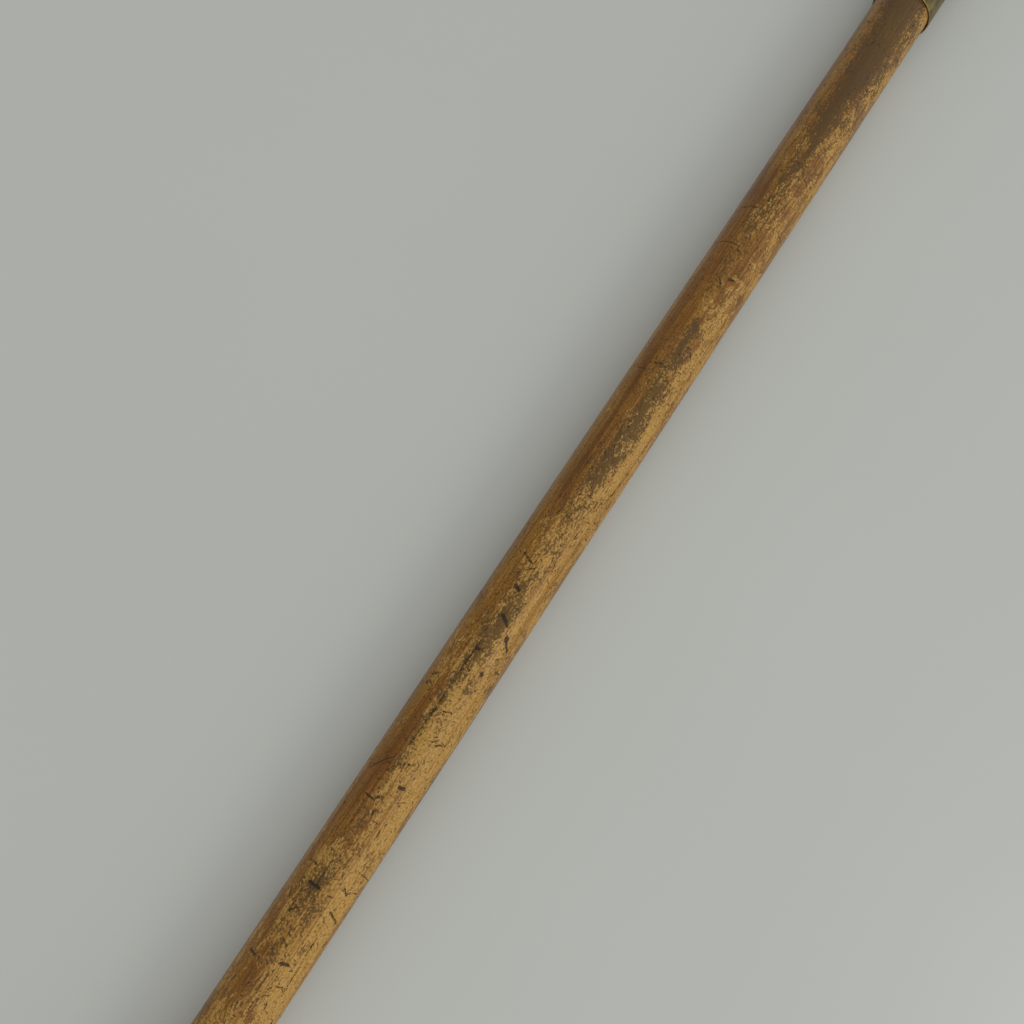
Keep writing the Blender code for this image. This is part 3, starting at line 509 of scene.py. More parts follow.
class Tree:
    """A shader node tree, with short ways to add what the finishes are made of."""

    def __init__(self, nodes: bpy.types.NodeTree) -> None:
        """Take up a node tree."""
        self.tree = nodes

    def add(self, kind: str, **settings: object) -> bpy.types.Node:
        """Add a node.

        Args:
            kind: the node's type, without the word ShaderNode.
            settings: values for the node's own properties.

        Returns:
            The new node.
        """
        node = self.tree.nodes.new("ShaderNode" + kind)
        for key, value in settings.items():
            setattr(node, key, value)
        return node

    def feed(self, socket: bpy.types.NodeSocket, value: object) -> None:
        """Link an output to a socket, or set the socket's own value.

        Args:
            socket: the input socket.
            value: an output socket, a number, or a colour or vector.
        """
        if isinstance(value, bpy.types.NodeSocket):
            self.tree.links.new(value, socket)
        elif isinstance(value, (tuple, list)) and len(socket.default_value) == 4:
            socket.default_value = (*value[:3], 1.0)
        else:
            socket.default_value = value

    def math(self, operation: str, *values: object) -> bpy.types.NodeSocket:
        """Add a Math node.

        Args:
            operation: what it does.
            values: its inputs in order.

        Returns:
            The result.
        """
        node = self.add("Math", operation=operation)
        for socket, value in zip(node.inputs, values):
            self.feed(socket, value)
        return node.outputs[0]

    def plus(self, first: object, second: object) -> bpy.types.NodeSocket:
        """Add two values."""
        return self.math("ADD", first, second)

    def minus(self, first: object, second: object) -> bpy.types.NodeSocket:
        """Take the second value from the first."""
        return self.math("SUBTRACT", first, second)

    def times(self, first: object, second: object) -> bpy.types.NodeSocket:
        """Multiply two values."""
        return self.math("MULTIPLY", first, second)

    def mix(self, share: object, first: object, second: object) -> bpy.types.NodeSocket:
        """Mix two colours.

        Args:
            share: how much of the second colour shows.
            first: the colour underneath.
            second: the colour on top.

        Returns:
            The mixed colour.
        """
        node = self.add("Mix", data_type="RGBA")
        self.feed(node.inputs[0], share)
        self.feed(node.inputs[6], first)
        self.feed(node.inputs[7], second)
        return node.outputs[2]

    def band(self, value: object, low: float, high: float, start: float = 0.0,
             end: float = 1.0) -> bpy.types.NodeSocket:
        """Ease a value from start to end as it passes from low to high.

        Args:
            value: the value.
            low: where the change starts.
            high: where it ends.
            start: the result at low.
            end: the result at high.

        Returns:
            The eased value.
        """
        node = self.add("MapRange", interpolation_type="SMOOTHSTEP")
        for socket, number in zip(node.inputs, (value, low, high, start, end)):
            self.feed(socket, number)
        return node.outputs[0]

    def layer(self, under: object, value: object, low: float, high: float, share: float,
              top: object) -> bpy.types.NodeSocket:
        """Lay one colour over another as a value passes from low to high.

        Args:
            under: the colour underneath.
            value: the value.
            low: where the upper colour starts.
            high: where it shows most.
            share: how much of it shows there.
            top: the upper colour.

        Returns:
            The mixed colour.
        """
        return self.mix(self.band(value, low, high, 0.0, share), under, top)

    def stretched(self, vector: bpy.types.NodeSocket, scale: Sequence[float],
                  shift: Sequence[float] = (0.0, 0.0, 0.0)) -> bpy.types.NodeSocket:
        """Scale a vector by its own amount in each direction.

        Args:
            vector: the vector.
            scale: the three scales.
            shift: what is added after scaling.

        Returns:
            The scaled vector.
        """
        node = self.add("Mapping")
        self.feed(node.inputs["Vector"], vector)
        node.inputs["Scale"].default_value = scale
        node.inputs["Location"].default_value = shift
        return node.outputs[0]

    def noise(self, vector: bpy.types.NodeSocket, scale: object, detail: float = 4.0,
              rough: float = 0.55, warp: float = 0.0) -> bpy.types.NodeSocket:
        """Add a noise pattern.

        Args:
            vector: the coordinates.
            scale: how many blots a metre, or a unit of the vector, holds.
            detail: how many finer layers it has.
            rough: how strong the finer layers are.
            warp: how much the pattern is bent by itself.

        Returns:
            The pattern's value.
        """
        node = self.add("TexNoise")
        self.feed(node.inputs["Vector"], vector)
        self.feed(node.inputs["Scale"], scale)
        node.inputs["Detail"].default_value = detail
        node.inputs["Roughness"].default_value = rough
        node.inputs["Distortion"].default_value = warp
        return node.outputs["Fac"]

    def drawn(self, vector: bpy.types.NodeSocket, along: float, scale: float,
              shift: Sequence[float] = (0.0, 0.0, 0.0), **settings: float) -> bpy.types.NodeSocket:
        """Add a noise pattern that is drawn out along X.

        Args:
            vector: the coordinates.
            along: the scale along X, as a share of the scale across.
            scale: how many blots a metre holds across.
            shift: what is added to the coordinates.
            settings: the noise's detail, rough and warp.

        Returns:
            The pattern's value.
        """
        return self.noise(self.stretched(vector, (along, 1.0, 1.0), shift), scale, **settings)

    def attribute(self, mark: Mark) -> bpy.types.NodeSocket:
        """Read one of the wooden pole's point values."""
        return self.add("Attribute", attribute_name=mark.value).outputs["Fac"]

    def place(self) -> bpy.types.NodeSocket:
        """The surface point in the object's own metres."""
        return self.add("TexCoord").outputs["Object"]

    def parts(self, vector: bpy.types.NodeSocket) -> bpy.types.NodeOutputs:
        """Split a vector.

        Args:
            vector: the vector.

        Returns:
            Its three outputs.
        """
        node = self.add("SeparateXYZ")
        self.feed(node.inputs[0], vector)
        return node.outputs

    def group(self, effect: Effect, **values: object) -> bpy.types.NodeSocket:
        """Place a shared effect.

        Args:
            effect: the effect.
            values: its inputs, by name, in small letters.

        Returns:
            The effect's mask.
        """
        node = self.add("Group", node_tree=shared(effect))
        for key, value in values.items():
            self.feed(node.inputs[key.capitalize()], value)
        return node.outputs[0]


def grain_mask(tree: Tree, get: Inputs) -> bpy.types.NodeSocket:
    """Long thin streaks along X, as drawn metal and sawn wood have.

    Args:
        tree: the group's tree.
        get: the group's inputs, by name.

    Returns:
        A fine streak pattern over a broad one.
    """
    fine = tree.stretched(get["Vector"], (22.0, 1400.0, 1400.0))
    broad = tree.stretched(get["Vector"], (7.0, 300.0, 300.0))
    first = tree.noise(fine, get["Density"], detail=3.0)
    second = tree.noise(broad, get["Density"], detail=4.0, rough=0.6)
    return tree.plus(tree.times(first, 0.5), tree.times(second, 0.5))


def stroke_mask(tree: Tree, get: Inputs) -> bpy.types.NodeSocket:
    """Short nicks, one at most in each cell, each turned its own way.

    Args:
        tree: the group's tree.
        get: the group's inputs, by name.

    Returns:
        1 on a nick and 0 off it.
    """
    flat = tree.add("Mapping")
    tree.feed(flat.inputs["Vector"], get["Vector"])
    scale = tree.add("CombineXYZ")
    for axis in range(3):
        tree.feed(scale.inputs[axis], tree.math("DIVIDE", 1.0, get["Cell"]))
    tree.feed(flat.inputs["Scale"], scale.outputs[0])
    offset = tree.add("CombineXYZ")
    tree.feed(offset.inputs[0], get["Seed"])
    tree.feed(flat.inputs["Location"], offset.outputs[0])
    cells = tree.add("TexVoronoi", voronoi_dimensions="2D")
    tree.feed(cells.inputs["Vector"], flat.outputs[0])
    cells.inputs["Scale"].default_value = 1.0
    away = tree.add("VectorMath", operation="SUBTRACT")
    tree.feed(away.inputs[0], flat.outputs[0])
    tree.feed(away.inputs[1], cells.outputs["Position"])
    chance = tree.add("SeparateColor")
    tree.feed(chance.inputs[0], cells.outputs["Color"])
    turn = tree.add("VectorRotate", rotation_type="Z_AXIS")
    tree.feed(turn.inputs["Vector"], away.outputs[0])
    tree.feed(turn.inputs["Angle"], tree.times(chance.outputs[0], FULL_TURN))
    parts = tree.parts(turn.outputs[0])
    reach = tree.times(get["Length"], tree.plus(chance.outputs[1], SHORTEST_NICK))
    along = tree.math("DIVIDE", parts[0], reach)
    bend = tree.times(tree.times(parts[0], parts[0]), get["Bend"])
    across = tree.math("DIVIDE", tree.minus(parts[1], bend), get["Width"])
    square = tree.plus(tree.math("POWER", tree.math("ABSOLUTE", along), 2.0),
                       tree.math("POWER", tree.math("ABSOLUTE", across), 2.0))
    body = tree.band(square, 0.25, 1.0, 1.0, 0.0)
    there = tree.math("LESS_THAN", chance.outputs[2], get["Chance"])
    return tree.times(body, there)


def edge_mask(tree: Tree, get: Inputs) -> bpy.types.NodeSocket:
    """Raised edges that are rubbed, broken up by noise.

    Args:
        tree: the group's tree.
        get: the group's inputs, by name.

    Returns:
        1 where the surface is rubbed.
    """
    raised = tree.add("NewGeometry").outputs["Pointiness"]
    broken = tree.noise(get["Vector"], 420.0, detail=5.0, rough=0.65)
    uneven = tree.times(tree.minus(broken, 0.5), get["Breakup"])
    return tree.band(tree.plus(raised, uneven), 0.515, 0.56)


def dust_mask(tree: Tree, get: Inputs) -> bpy.types.NodeSocket:
    """Dust that gathers in hollows and lies in clouds elsewhere.

    Args:
        tree: the group's tree.
        get: the group's inputs, by name.

    Returns:
        How thick the dust lies.
    """
    hollow = tree.band(tree.add("NewGeometry").outputs["Pointiness"], 0.5, 0.44)
    clouds = tree.noise(get["Vector"], 55.0, detail=7.0, rough=0.65)
    specks = tree.noise(get["Vector"], 900.0, detail=2.0)
    lying = tree.times(tree.band(clouds, 0.42, 0.75), tree.band(specks, 0.35, 0.6))
    return tree.times(tree.plus(tree.times(hollow, 0.7), lying), get["Amount"])


RECIPES = {
    Effect.GRAIN: (grain_mask, {"Density": 1.0}),
    Effect.NICKS: (stroke_mask, {"Cell": 0.01, "Length": 0.3, "Width": 0.05, "Chance": 0.5, "Bend": 0.0,
                                 "Seed": 0.0}),
    Effect.EDGE_WEAR: (edge_mask, {"Breakup": 0.1}),
    Effect.DUST: (dust_mask, {"Amount": 0.5}),
}


@cache
def shared(effect: Effect) -> bpy.types.NodeTree:
    """Build an effect's node group the first time that it is asked for.

    Args:
        effect: the effect.

    Returns:
        The group's tree, with a vector input, the recipe's own inputs and one mask.
    """
    recipe, defaults = RECIPES[effect]
    group = bpy.data.node_groups.new(effect.value, "ShaderNodeTree")
    group.interface.new_socket("Vector", in_out="INPUT", socket_type="NodeSocketVector")
    for label, default in defaults.items():
        socket = group.interface.new_socket(label, in_out="INPUT", socket_type="NodeSocketFloat")
        socket.default_value = default
    group.interface.new_socket("Mask", in_out="OUTPUT", socket_type="NodeSocketFloat")
    tree = Tree(group)
    inputs = {socket.name: socket for socket in group.nodes.new("NodeGroupInput").outputs}
    out = group.nodes.new("NodeGroupOutput")
    tree.feed(out.inputs[0], recipe(tree, inputs))
    return group


# ---------------------------------------------------------------- finishes


@dataclass(frozen=True)
class Finish:
    """A surface finish; each kind paints its own material."""

    name: str
    slot: str

    @cache
    def material(self) -> bpy.types.Material:
        """Make the finish's material once.

        Returns:
            The material.
        """
        material = bpy.data.materials.new(self.name)
        material.use_nodes = True
        tree = Tree(material.node_tree)
        shader = material.node_tree.nodes["Principled BSDF"]
        self.paint(tree, shader)
        return material

    def paint(self, tree: Tree, shader: bpy.types.Node) -> None:
        """Lay the finish on a shader.

        Args:
            tree: the material's tree.
            shader: its Principled BSDF.
        """
        raise NotImplementedError

    @staticmethod
    def raise_surface(tree: Tree, shader: bpy.types.Node, height: bpy.types.NodeSocket,
                      depth: float, strength: float = 1.0) -> None:
        """Give the shader a bump.

        Args:
            tree: the material's tree.
            shader: its shader.
            height: the height, 0 to 1.
            depth: the depth of the full height, in metres.
            strength: how much of it shows.
        """
        bump = tree.add("Bump")
        bump.inputs["Strength"].default_value = strength
        bump.inputs["Distance"].default_value = depth
        tree.feed(bump.inputs["Height"], height)
        tree.feed(shader.inputs["Normal"], bump.outputs[0])


@dataclass(frozen=True)
class VarnishedWood(Finish):
    """Amber varnish over pale wood, worn through, smudged, nicked and speckled, with painted shade next to
    the ferrule's mouth and painted side shading along the pole.
    """

    amber: Colour = linear(134, 85, 12)
    honey: Colour = linear(154, 103, 14)
    tan: Colour = linear(176, 132, 54)
    bare_wood: Colour = linear(212, 170, 100)
    russet: Colour = linear(94, 54, 8)
    # Brown of the grime, also used for the painted shade next to the ferrule's mouth.
    grime_and_shade_brown: Colour = linear(84, 60, 22)
    nick_dark: Colour = linear(38, 26, 14)

    def paint(self, tree: Tree, shader: bpy.types.Node) -> None:
        """Lay varnish, wear, grime and nicks over one another.

        Args:
            tree: the material\'s tree.
            shader: its Principled BSDF.
        """
        where = tree.place()
        flat = tree.add("UVMap", uv_map="along_and_round").outputs[0]
        worn, colour = self.varnish(tree, where)
        grime, colour = self.grime(tree, where, colour)
        nicks = self.nicks(tree, flat, where)
        colour = tree.mix(nicks, colour, self.nick_dark)
        tree.feed(shader.inputs["Base Color"], colour)
        fine = tree.noise(tree.stretched(where, (420.0, 1500.0, 1500.0)), 1.0, detail=3.0)
        rough = tree.plus(tree.times(worn, 0.14), tree.times(fine, 0.3))
        rough = tree.plus(rough, tree.times(grime, 0.12))
        tree.feed(shader.inputs["Roughness"], tree.plus(rough, 0.2))
        tree.feed(shader.inputs["Coat Weight"], tree.band(worn, 0.7, 0.2, 0.05, 0.2))
        shader.inputs["Coat Roughness"].default_value = 0.2
        shader.inputs["IOR"].default_value = 1.36
        grain = tree.group(Effect.GRAIN, vector=where)
        height = tree.plus(tree.times(grain, 0.5), tree.times(fine, 0.4))
        height = tree.minus(height, tree.times(nicks, 0.8))
        height = tree.minus(height, tree.times(worn, 0.15))
        self.raise_surface(tree, shader, height, 0.34 * MM)

    def varnish(self, tree: Tree, where: bpy.types.NodeSocket) -> tuple[bpy.types.NodeSocket, ...]:
        """The varnish's own colours and where it is worn thin, with painted side shading: darker amber down
        the pole's -Y side and paler wood down its +Y side.

        Args:
            tree: the material's tree.
            where: the surface point.

        Returns:
            The mask of wear and painted side shading, and the colour.
        """
        clouds = tree.drawn(where, 0.42, 62.0, detail=6.0, rough=0.6, warp=0.4)
        flecks = tree.drawn(where, 0.36, 340.0, detail=6.0, rough=0.72, warp=0.9)
        dots = tree.drawn(where, 0.7, 1300.0, detail=3.0, rough=0.6, shift=(3.0, 5.0, 0.0))
        grain = tree.group(Effect.GRAIN, vector=where)
        colour = tree.layer(self.amber, clouds, 0.38, 0.62, 1.0, self.honey)
        colour = tree.layer(colour, grain, 0.46, 0.58, 0.55, self.tan)
        colour = tree.layer(colour, grain, 0.5, 0.38, 0.5, self.russet)
        rusty = tree.drawn(where, 0.3, 70.0, detail=6.0, rough=0.66, shift=(9.0, 2.0, 4.0))
        colour = tree.layer(colour, rusty, 0.54, 0.68, 0.6, self.russet)
        colour = tree.layer(colour, dots, 0.51, 0.62, 0.72, self.russet)
        # The bare mark carries painted side shading as well as wear.
        reach = tree.attribute(Mark.BARE)
        for pattern, share in ((clouds, 2.2), (flecks, 1.9), (dots, 0.9)):
            reach = tree.plus(reach, tree.times(tree.minus(pattern, 0.5), share))
        halo = tree.minus(tree.band(reach, -0.1, 0.04), tree.band(reach, 0.02, 0.12))
        colour = tree.mix(tree.times(halo, 0.4), colour, self.russet)
        worn = tree.band(reach, 0.03, 0.17)
        pale = tree.layer(self.tan, dots, 0.4, 0.62, 1.0, self.bare_wood)
        pale = tree.layer(pale, grain, 0.52, 0.4, 0.6, self.amber)
        return worn, tree.mix(tree.times(worn, 0.74), colour, pale)

    def grime(self, tree: Tree, where: bpy.types.NodeSocket,
              colour: bpy.types.NodeSocket) -> tuple[bpy.types.NodeSocket, ...]:
        """Brown grime rubbed into the worn places, and painted shade on the wood next to the ferrule's
        mouth.

        Args:
            tree: the material's tree.
            where: the surface point.
            colour: the colour underneath.

        Returns:
            The mask of grime and painted shade, and the colour.
        """
        patchy = tree.drawn(where, 0.45, 240.0, detail=6.0, rough=0.72, warp=0.8, shift=(1.0, 7.0, 2.0))
        fine = tree.drawn(where, 0.8, 1050.0, detail=4.0, rough=0.7, shift=(4.0, 1.0, 8.0))
        # The mark's zones next to the ferrule's mouth are painted shade, mixed in with the grime.
        reach = tree.attribute(Mark.GRIME)
        for pattern, share in ((patchy, 2.2), (fine, 2.6)):
            reach = tree.plus(reach, tree.times(tree.minus(pattern, 0.5), share))
        grime = tree.times(tree.band(reach, 0.2, 0.6), 0.86)
        return grime, tree.mix(grime, colour, self.grime_and_shade_brown)

    def nicks(self, tree: Tree, flat: bpy.types.NodeSocket,
              where: bpy.types.NodeSocket) -> bpy.types.NodeSocket:
        """Every nick: the placed scars and three sizes of scattered ones.

        Args:
            tree: the material's tree.
            flat: the point unrolled, in metres along and round the pole.
            where: the surface point.

        Returns:
            The mask of all of them.
        """
        gather = tree.band(tree.noise(where, 26.0, detail=3.0), 0.38, 0.62)
        small = tree.group(Effect.NICKS, vector=flat, cell=0.0048, length=0.24, width=0.06,
                           chance=tree.times(gather, 0.8), bend=0.2, seed=3.0)
        middle = tree.group(Effect.NICKS, vector=flat, cell=0.011, length=0.22, width=0.04,
                            chance=tree.times(gather, 0.5), bend=0.25, seed=11.0)
        wide = tree.group(Effect.NICKS, vector=flat, cell=0.036, length=0.24, width=0.011,
                          chance=0.4, bend=0.3, seed=23.0)
        scattered = tree.math("MAXIMUM", small, tree.math("MAXIMUM", middle, wide))
        ragged = tree.noise(where, 1700.0, detail=4.0, rough=0.7)
        scattered = tree.times(scattered, tree.band(ragged, 0.36, 0.58, 0.1, 0.85))
        edge = tree.times(tree.minus(ragged, 0.5), 0.95)
        placed = tree.band(tree.plus(tree.attribute(Mark.SCAR), edge), 0.47, 0.60)
        return tree.math("MAXIMUM", scattered, tree.times(placed, 0.9))


@dataclass(frozen=True)
class TarnishedMetal(Finish):
    """Bare metal under a tarnish, with lengthwise rubs, scratches and bright edges."""

    metal: Colour = linear(150, 132, 84)
    tarnish: Colour = linear(84, 75, 44)
    deep: Colour = linear(44, 38, 24)
    roughness: float = 0.42
    metallic: float = 0.85
    scratch_cell: float = 0.011

    def paint(self, tree: Tree, shader: bpy.types.Node) -> None:
        """Lay tarnish, rubs and scratches over the metal.

        Args:
            tree: the material\'s tree.
            shader: its Principled BSDF.
        """
        where = tree.place()
        clouds = tree.noise(where, 60.0, detail=7.0, rough=0.62, warp=0.3)
        spots = tree.noise(where, 700.0, detail=4.0, rough=0.6)
        grain = tree.group(Effect.GRAIN, vector=where)
        wear = tree.group(Effect.EDGE_WEAR, vector=where, breakup=0.1)
        dust = tree.group(Effect.DUST, vector=where, amount=0.55)
        scratch = tree.group(Effect.NICKS, vector=where, cell=self.scratch_cell, length=0.38,
                             width=0.014, chance=0.55, bend=0.5, seed=2.0)
        colour = tree.layer(self.tarnish, clouds, 0.38, 0.66, 1.0, self.metal)
        colour = tree.layer(colour, grain, 0.45, 0.62, 0.5, self.metal)
        colour = tree.layer(colour, spots, 0.58, 0.72, 0.7, self.deep)
        colour = tree.mix(dust, colour, self.deep)
        bright = tree.math("MAXIMUM", wear, tree.times(scratch, 0.6))
        colour = tree.mix(bright, colour, tuple(min(1.0, 1.35 * c) for c in self.metal))
        tree.feed(shader.inputs["Base Color"], colour)
        tree.feed(shader.inputs["Metallic"], tree.minus(self.metallic, tree.times(dust, 0.5)))
        rough = tree.plus(self.roughness, tree.times(tree.minus(clouds, 0.5), 0.3))
        rough = tree.plus(rough, tree.times(dust, 0.3))
        tree.feed(shader.inputs["Roughness"], tree.minus(rough, tree.times(bright, 0.12)))
        height = tree.plus(tree.times(grain, 0.5), tree.times(spots, 0.3))
        height = tree.minus(height, tree.times(scratch, 0.6))
        self.raise_surface(tree, shader, height, 0.07 * MM)


@dataclass(frozen=True)
class Enamel(Finish):
    """Coloured enamel over steel, chipped to grey primer and rust, and rubbed dull."""

    paint_colour: Colour = linear(36, 66, 46)
    faded: Colour = linear(58, 88, 64)
    steel: Colour = linear(128, 122, 112)
    rust: Colour = linear(112, 60, 30)

    def paint(self, tree: Tree, shader: bpy.types.Node) -> None:
        """Lay enamel over steel and chip it.

        Args:
            tree: the material\'s tree.
            shader: its Principled BSDF.
        """
        where = tree.place()
        clouds = tree.drawn(where, 0.25, 50.0, detail=6.0, rough=0.6)
        chips = tree.drawn(where, 0.55, 165.0, detail=8.0, rough=0.62, warp=0.8)
        zone = tree.noise(where, 11.0, detail=2.0)
        bare = tree.band(tree.plus(chips, tree.times(zone, 0.3)), 0.80, 0.815)
        halo = tree.band(tree.plus(chips, tree.times(zone, 0.3)), 0.775, 0.80)
        wear = tree.group(Effect.EDGE_WEAR, vector=where, breakup=0.12)
        bare = tree.math("MAXIMUM", bare, wear)
        flat = tree.add("UVMap", uv_map="along_and_round").outputs[0]
        scratch = tree.group(Effect.NICKS, vector=flat, cell=0.03, length=0.42, width=0.007,
                             chance=0.6, bend=0.8, seed=5.0)
        dust = tree.group(Effect.DUST, vector=where, amount=0.35)
        spots = tree.noise(where, 600.0, detail=4.0, rough=0.6)
        colour = tree.layer(self.paint_colour, clouds, 0.4, 0.7, 1.0, self.faded)
        colour = tree.mix(tree.times(scratch, 0.55), colour, self.faded)
        colour = tree.mix(dust, colour, linear(120, 112, 92))
        colour = tree.mix(tree.times(halo, 0.5), colour, tuple(0.35 * c for c in self.paint_colour))
        metal = tree.layer(self.steel, spots, 0.42, 0.6, 1.0, self.rust)
        tree.feed(shader.inputs["Base Color"], tree.mix(bare, colour, metal))
        tree.feed(shader.inputs["Metallic"], tree.times(bare, 0.5))
        rough = tree.plus(0.3, tree.times(clouds, 0.2))
        rough = tree.plus(rough, tree.times(bare, 0.25))
        tree.feed(shader.inputs["Roughness"], tree.plus(rough, tree.times(dust, 0.3)))
        peel = tree.noise(where, 420.0, detail=2.0)
        height = tree.plus(tree.times(peel, 0.12), tree.minus(1.0, bare))
        height = tree.minus(height, tree.times(scratch, 0.3))
        self.raise_surface(tree, shader, height, 0.09 * MM)


@dataclass(frozen=True)
class Rubber(Finish):
    """Moulded rubber, dusty in its grooves and polished by hands."""

    base: Colour = linear(38, 37, 36)
    chalky: Colour = linear(92, 88, 80)

    def paint(self, tree: Tree, shader: bpy.types.Node) -> None:
        """Lay dust and hand polish over the rubber.

        Args:
            tree: the material\'s tree.
            shader: its Principled BSDF.
        """
        where = tree.place()
        clouds = tree.noise(where, 42.0, detail=5.0, rough=0.6)
        pores = tree.noise(where, 1700.0, detail=3.0, rough=0.6)
        dust = tree.group(Effect.DUST, vector=where, amount=0.6)
        wear = tree.group(Effect.EDGE_WEAR, vector=where, breakup=0.08)
        colour = tree.layer(self.base, clouds, 0.35, 0.75, 0.4, linear(60, 58, 54))
        colour = tree.mix(dust, colour, self.chalky)
        colour = tree.mix(tree.times(wear, 0.3), colour, linear(70, 67, 62))
        tree.feed(shader.inputs["Base Color"], colour)
        rough = tree.plus(0.55, tree.times(pores, 0.22))
        rough = tree.minus(rough, tree.times(wear, 0.15))
        tree.feed(shader.inputs["Roughness"], tree.plus(rough, tree.times(dust, 0.15)))
        height = tree.plus(tree.times(pores, 0.5), tree.times(clouds, 0.5))
        self.raise_surface(tree, shader, height, 0.12 * MM)


@dataclass(frozen=True)
class ForgedIron(Finish):
    """Blackened forging with scale, hammer dimples and bright rubbed edges."""

    scale_colour: Colour = linear(46, 44, 42)
    worn: Colour = linear(122, 116, 106)
    rust: Colour = linear(98, 56, 32)

    def paint(self, tree: Tree, shader: bpy.types.Node) -> None:
        """Lay scale, rust bloom and worn edges over the iron.

        Args:
            tree: the material\'s tree.
            shader: its Principled BSDF.
        """
        where = tree.place()
        dimples = tree.noise(where, 130.0, detail=2.0, rough=0.4)
        skin = tree.noise(where, 900.0, detail=5.0, rough=0.65)
        bloom = tree.noise(where, 75.0, detail=6.0, rough=0.65, warp=0.5)
        rubbed = tree.group(Effect.EDGE_WEAR, vector=where, breakup=0.16)
        wear = tree.times(rubbed, 0.6)
        dust = tree.group(Effect.DUST, vector=where, amount=0.4)
        colour = tree.layer(self.scale_colour, skin, 0.4, 0.7, 1.0, linear(66, 63, 60))
        colour = tree.layer(colour, bloom, 0.56, 0.74, 0.7, self.rust)
        colour = tree.mix(dust, colour, linear(104, 92, 72))
        tree.feed(shader.inputs["Base Color"], tree.mix(wear, colour, self.worn))
        tree.feed(shader.inputs["Metallic"], tree.plus(0.35, tree.times(wear, 0.55)))
        rough = tree.plus(0.46, tree.times(skin, 0.25))
        tree.feed(shader.inputs["Roughness"], tree.minus(rough, tree.times(wear, 0.2)))
        height = tree.plus(tree.times(dimples, 0.8), tree.times(skin, 0.35))
        self.raise_surface(tree, shader, height, 0.35 * MM)


@dataclass(frozen=True)
class GroundSteel(Finish):
    """Spring steel ground across its length, stained by sap and freckled with rust."""

    steel: Colour = linear(158, 156, 150)
    stain: Colour = linear(94, 84, 68)
    rust: Colour = linear(120, 70, 38)

    def paint(self, tree: Tree, shader: bpy.types.Node) -> None:
        """Lay grinding marks, stains and freckles over the steel.

        Args:
            tree: the material\'s tree.
            shader: its Principled BSDF.
        """
        where = tree.place()
        ground = tree.noise(tree.stretched(where, (1500.0, 45.0, 45.0)), 1.0, detail=3.0)
        clouds = tree.noise(where, 32.0, detail=7.0, rough=0.62, warp=0.6)
        freckle = tree.noise(where, 330.0, detail=5.0, rough=0.65)
        wear = tree.group(Effect.EDGE_WEAR, vector=where, breakup=0.08)
        colour = tree.layer(self.steel, ground, 0.4, 0.62, 0.35, linear(112, 110, 106))
        colour = tree.layer(colour, clouds, 0.48, 0.68, 0.75, self.stain)
        rusty = tree.times(tree.band(freckle, 0.56, 0.68), tree.band(clouds, 0.38, 0.6))
        colour = tree.mix(tree.times(rusty, 0.8), colour, self.rust)
        tree.feed(shader.inputs["Base Color"], tree.mix(wear, colour, linear(200, 198, 192)))
        tree.feed(shader.inputs["Metallic"], tree.minus(0.92, tree.times(rusty, 0.7)))
        rough = tree.plus(0.28, tree.times(clouds, 0.25))
        tree.feed(shader.inputs["Roughness"], tree.plus(rough, tree.times(rusty, 0.3)))
        height = tree.plus(tree.times(ground, 0.6), tree.times(rusty, 0.4))
        self.raise_surface(tree, shader, height, 0.05 * MM)


@dataclass(frozen=True)
class PaleSurface(Finish):
    """The plain pale surface that the saw lies on."""

    tone: Colour = linear(204, 207, 202)

    def paint(self, tree: Tree, shader: bpy.types.Node) -> None:
        """Lay a barely seen unevenness over one pale tone.

        Args:
            tree: the material\'s tree.
            shader: its Principled BSDF.
        """
        where = tree.place()
        clouds = tree.noise(where, 6.0, detail=3.0)
        specks = tree.noise(where, 340.0, detail=2.0)
        colour = tree.layer(self.tone, clouds, 0.3, 0.7, 0.12, tuple(0.93 * c for c in self.tone))
        tree.feed(shader.inputs["Base Color"], colour)
        tree.feed(shader.inputs["Roughness"], tree.band(specks, 0.2, 0.8, 0.31, 0.36))


WOOD = VarnishedWood("varnished_wood", "varnished_wood")
BRASS = TarnishedMetal("aged_brass", "aged_brass")
ENAMEL = Enamel("green_enamel", "green_paint")
RUBBER = Rubber("moulded_rubber", "black_rubber")
IRON = ForgedIron("forged_iron", "forged_iron")
ZINC = TarnishedMetal("zinc_plate", "zinc_steel", metal=linear(176, 174, 166),
                      tarnish=linear(132, 128, 118), deep=linear(98, 66, 42), roughness=0.38,
                      metallic=0.9, scratch_cell=0.006)
BLADE = GroundSteel("ground_steel", "blade_steel")
SURFACE = PaleSurface("pale_surface", "")


# ---------------------------------------------------------------- the wooden pole


@dataclass(frozen=True)
class Scar:
    """A cut, chip or crack in the wooden pole's face.

    The station is in metres from the ferrule's mouth; around is in degrees from the top, towards
    +Y; slant is in degrees from the pole's axis, towards +Y. Only the depth is in millimetres.
    """

    station: float
    around: float
    length: float
    slant: float
    width: float
    depth_mm: float


@dataclass(frozen=True)
class Zone:
    """A soft-edged area of the wooden pole where wear or grime is stronger, or where painted shade and
    painted light are laid on.
    """

    mark: Mark
    station: float
    around: float
    half_length: float
    half_angle: float
    strength: float


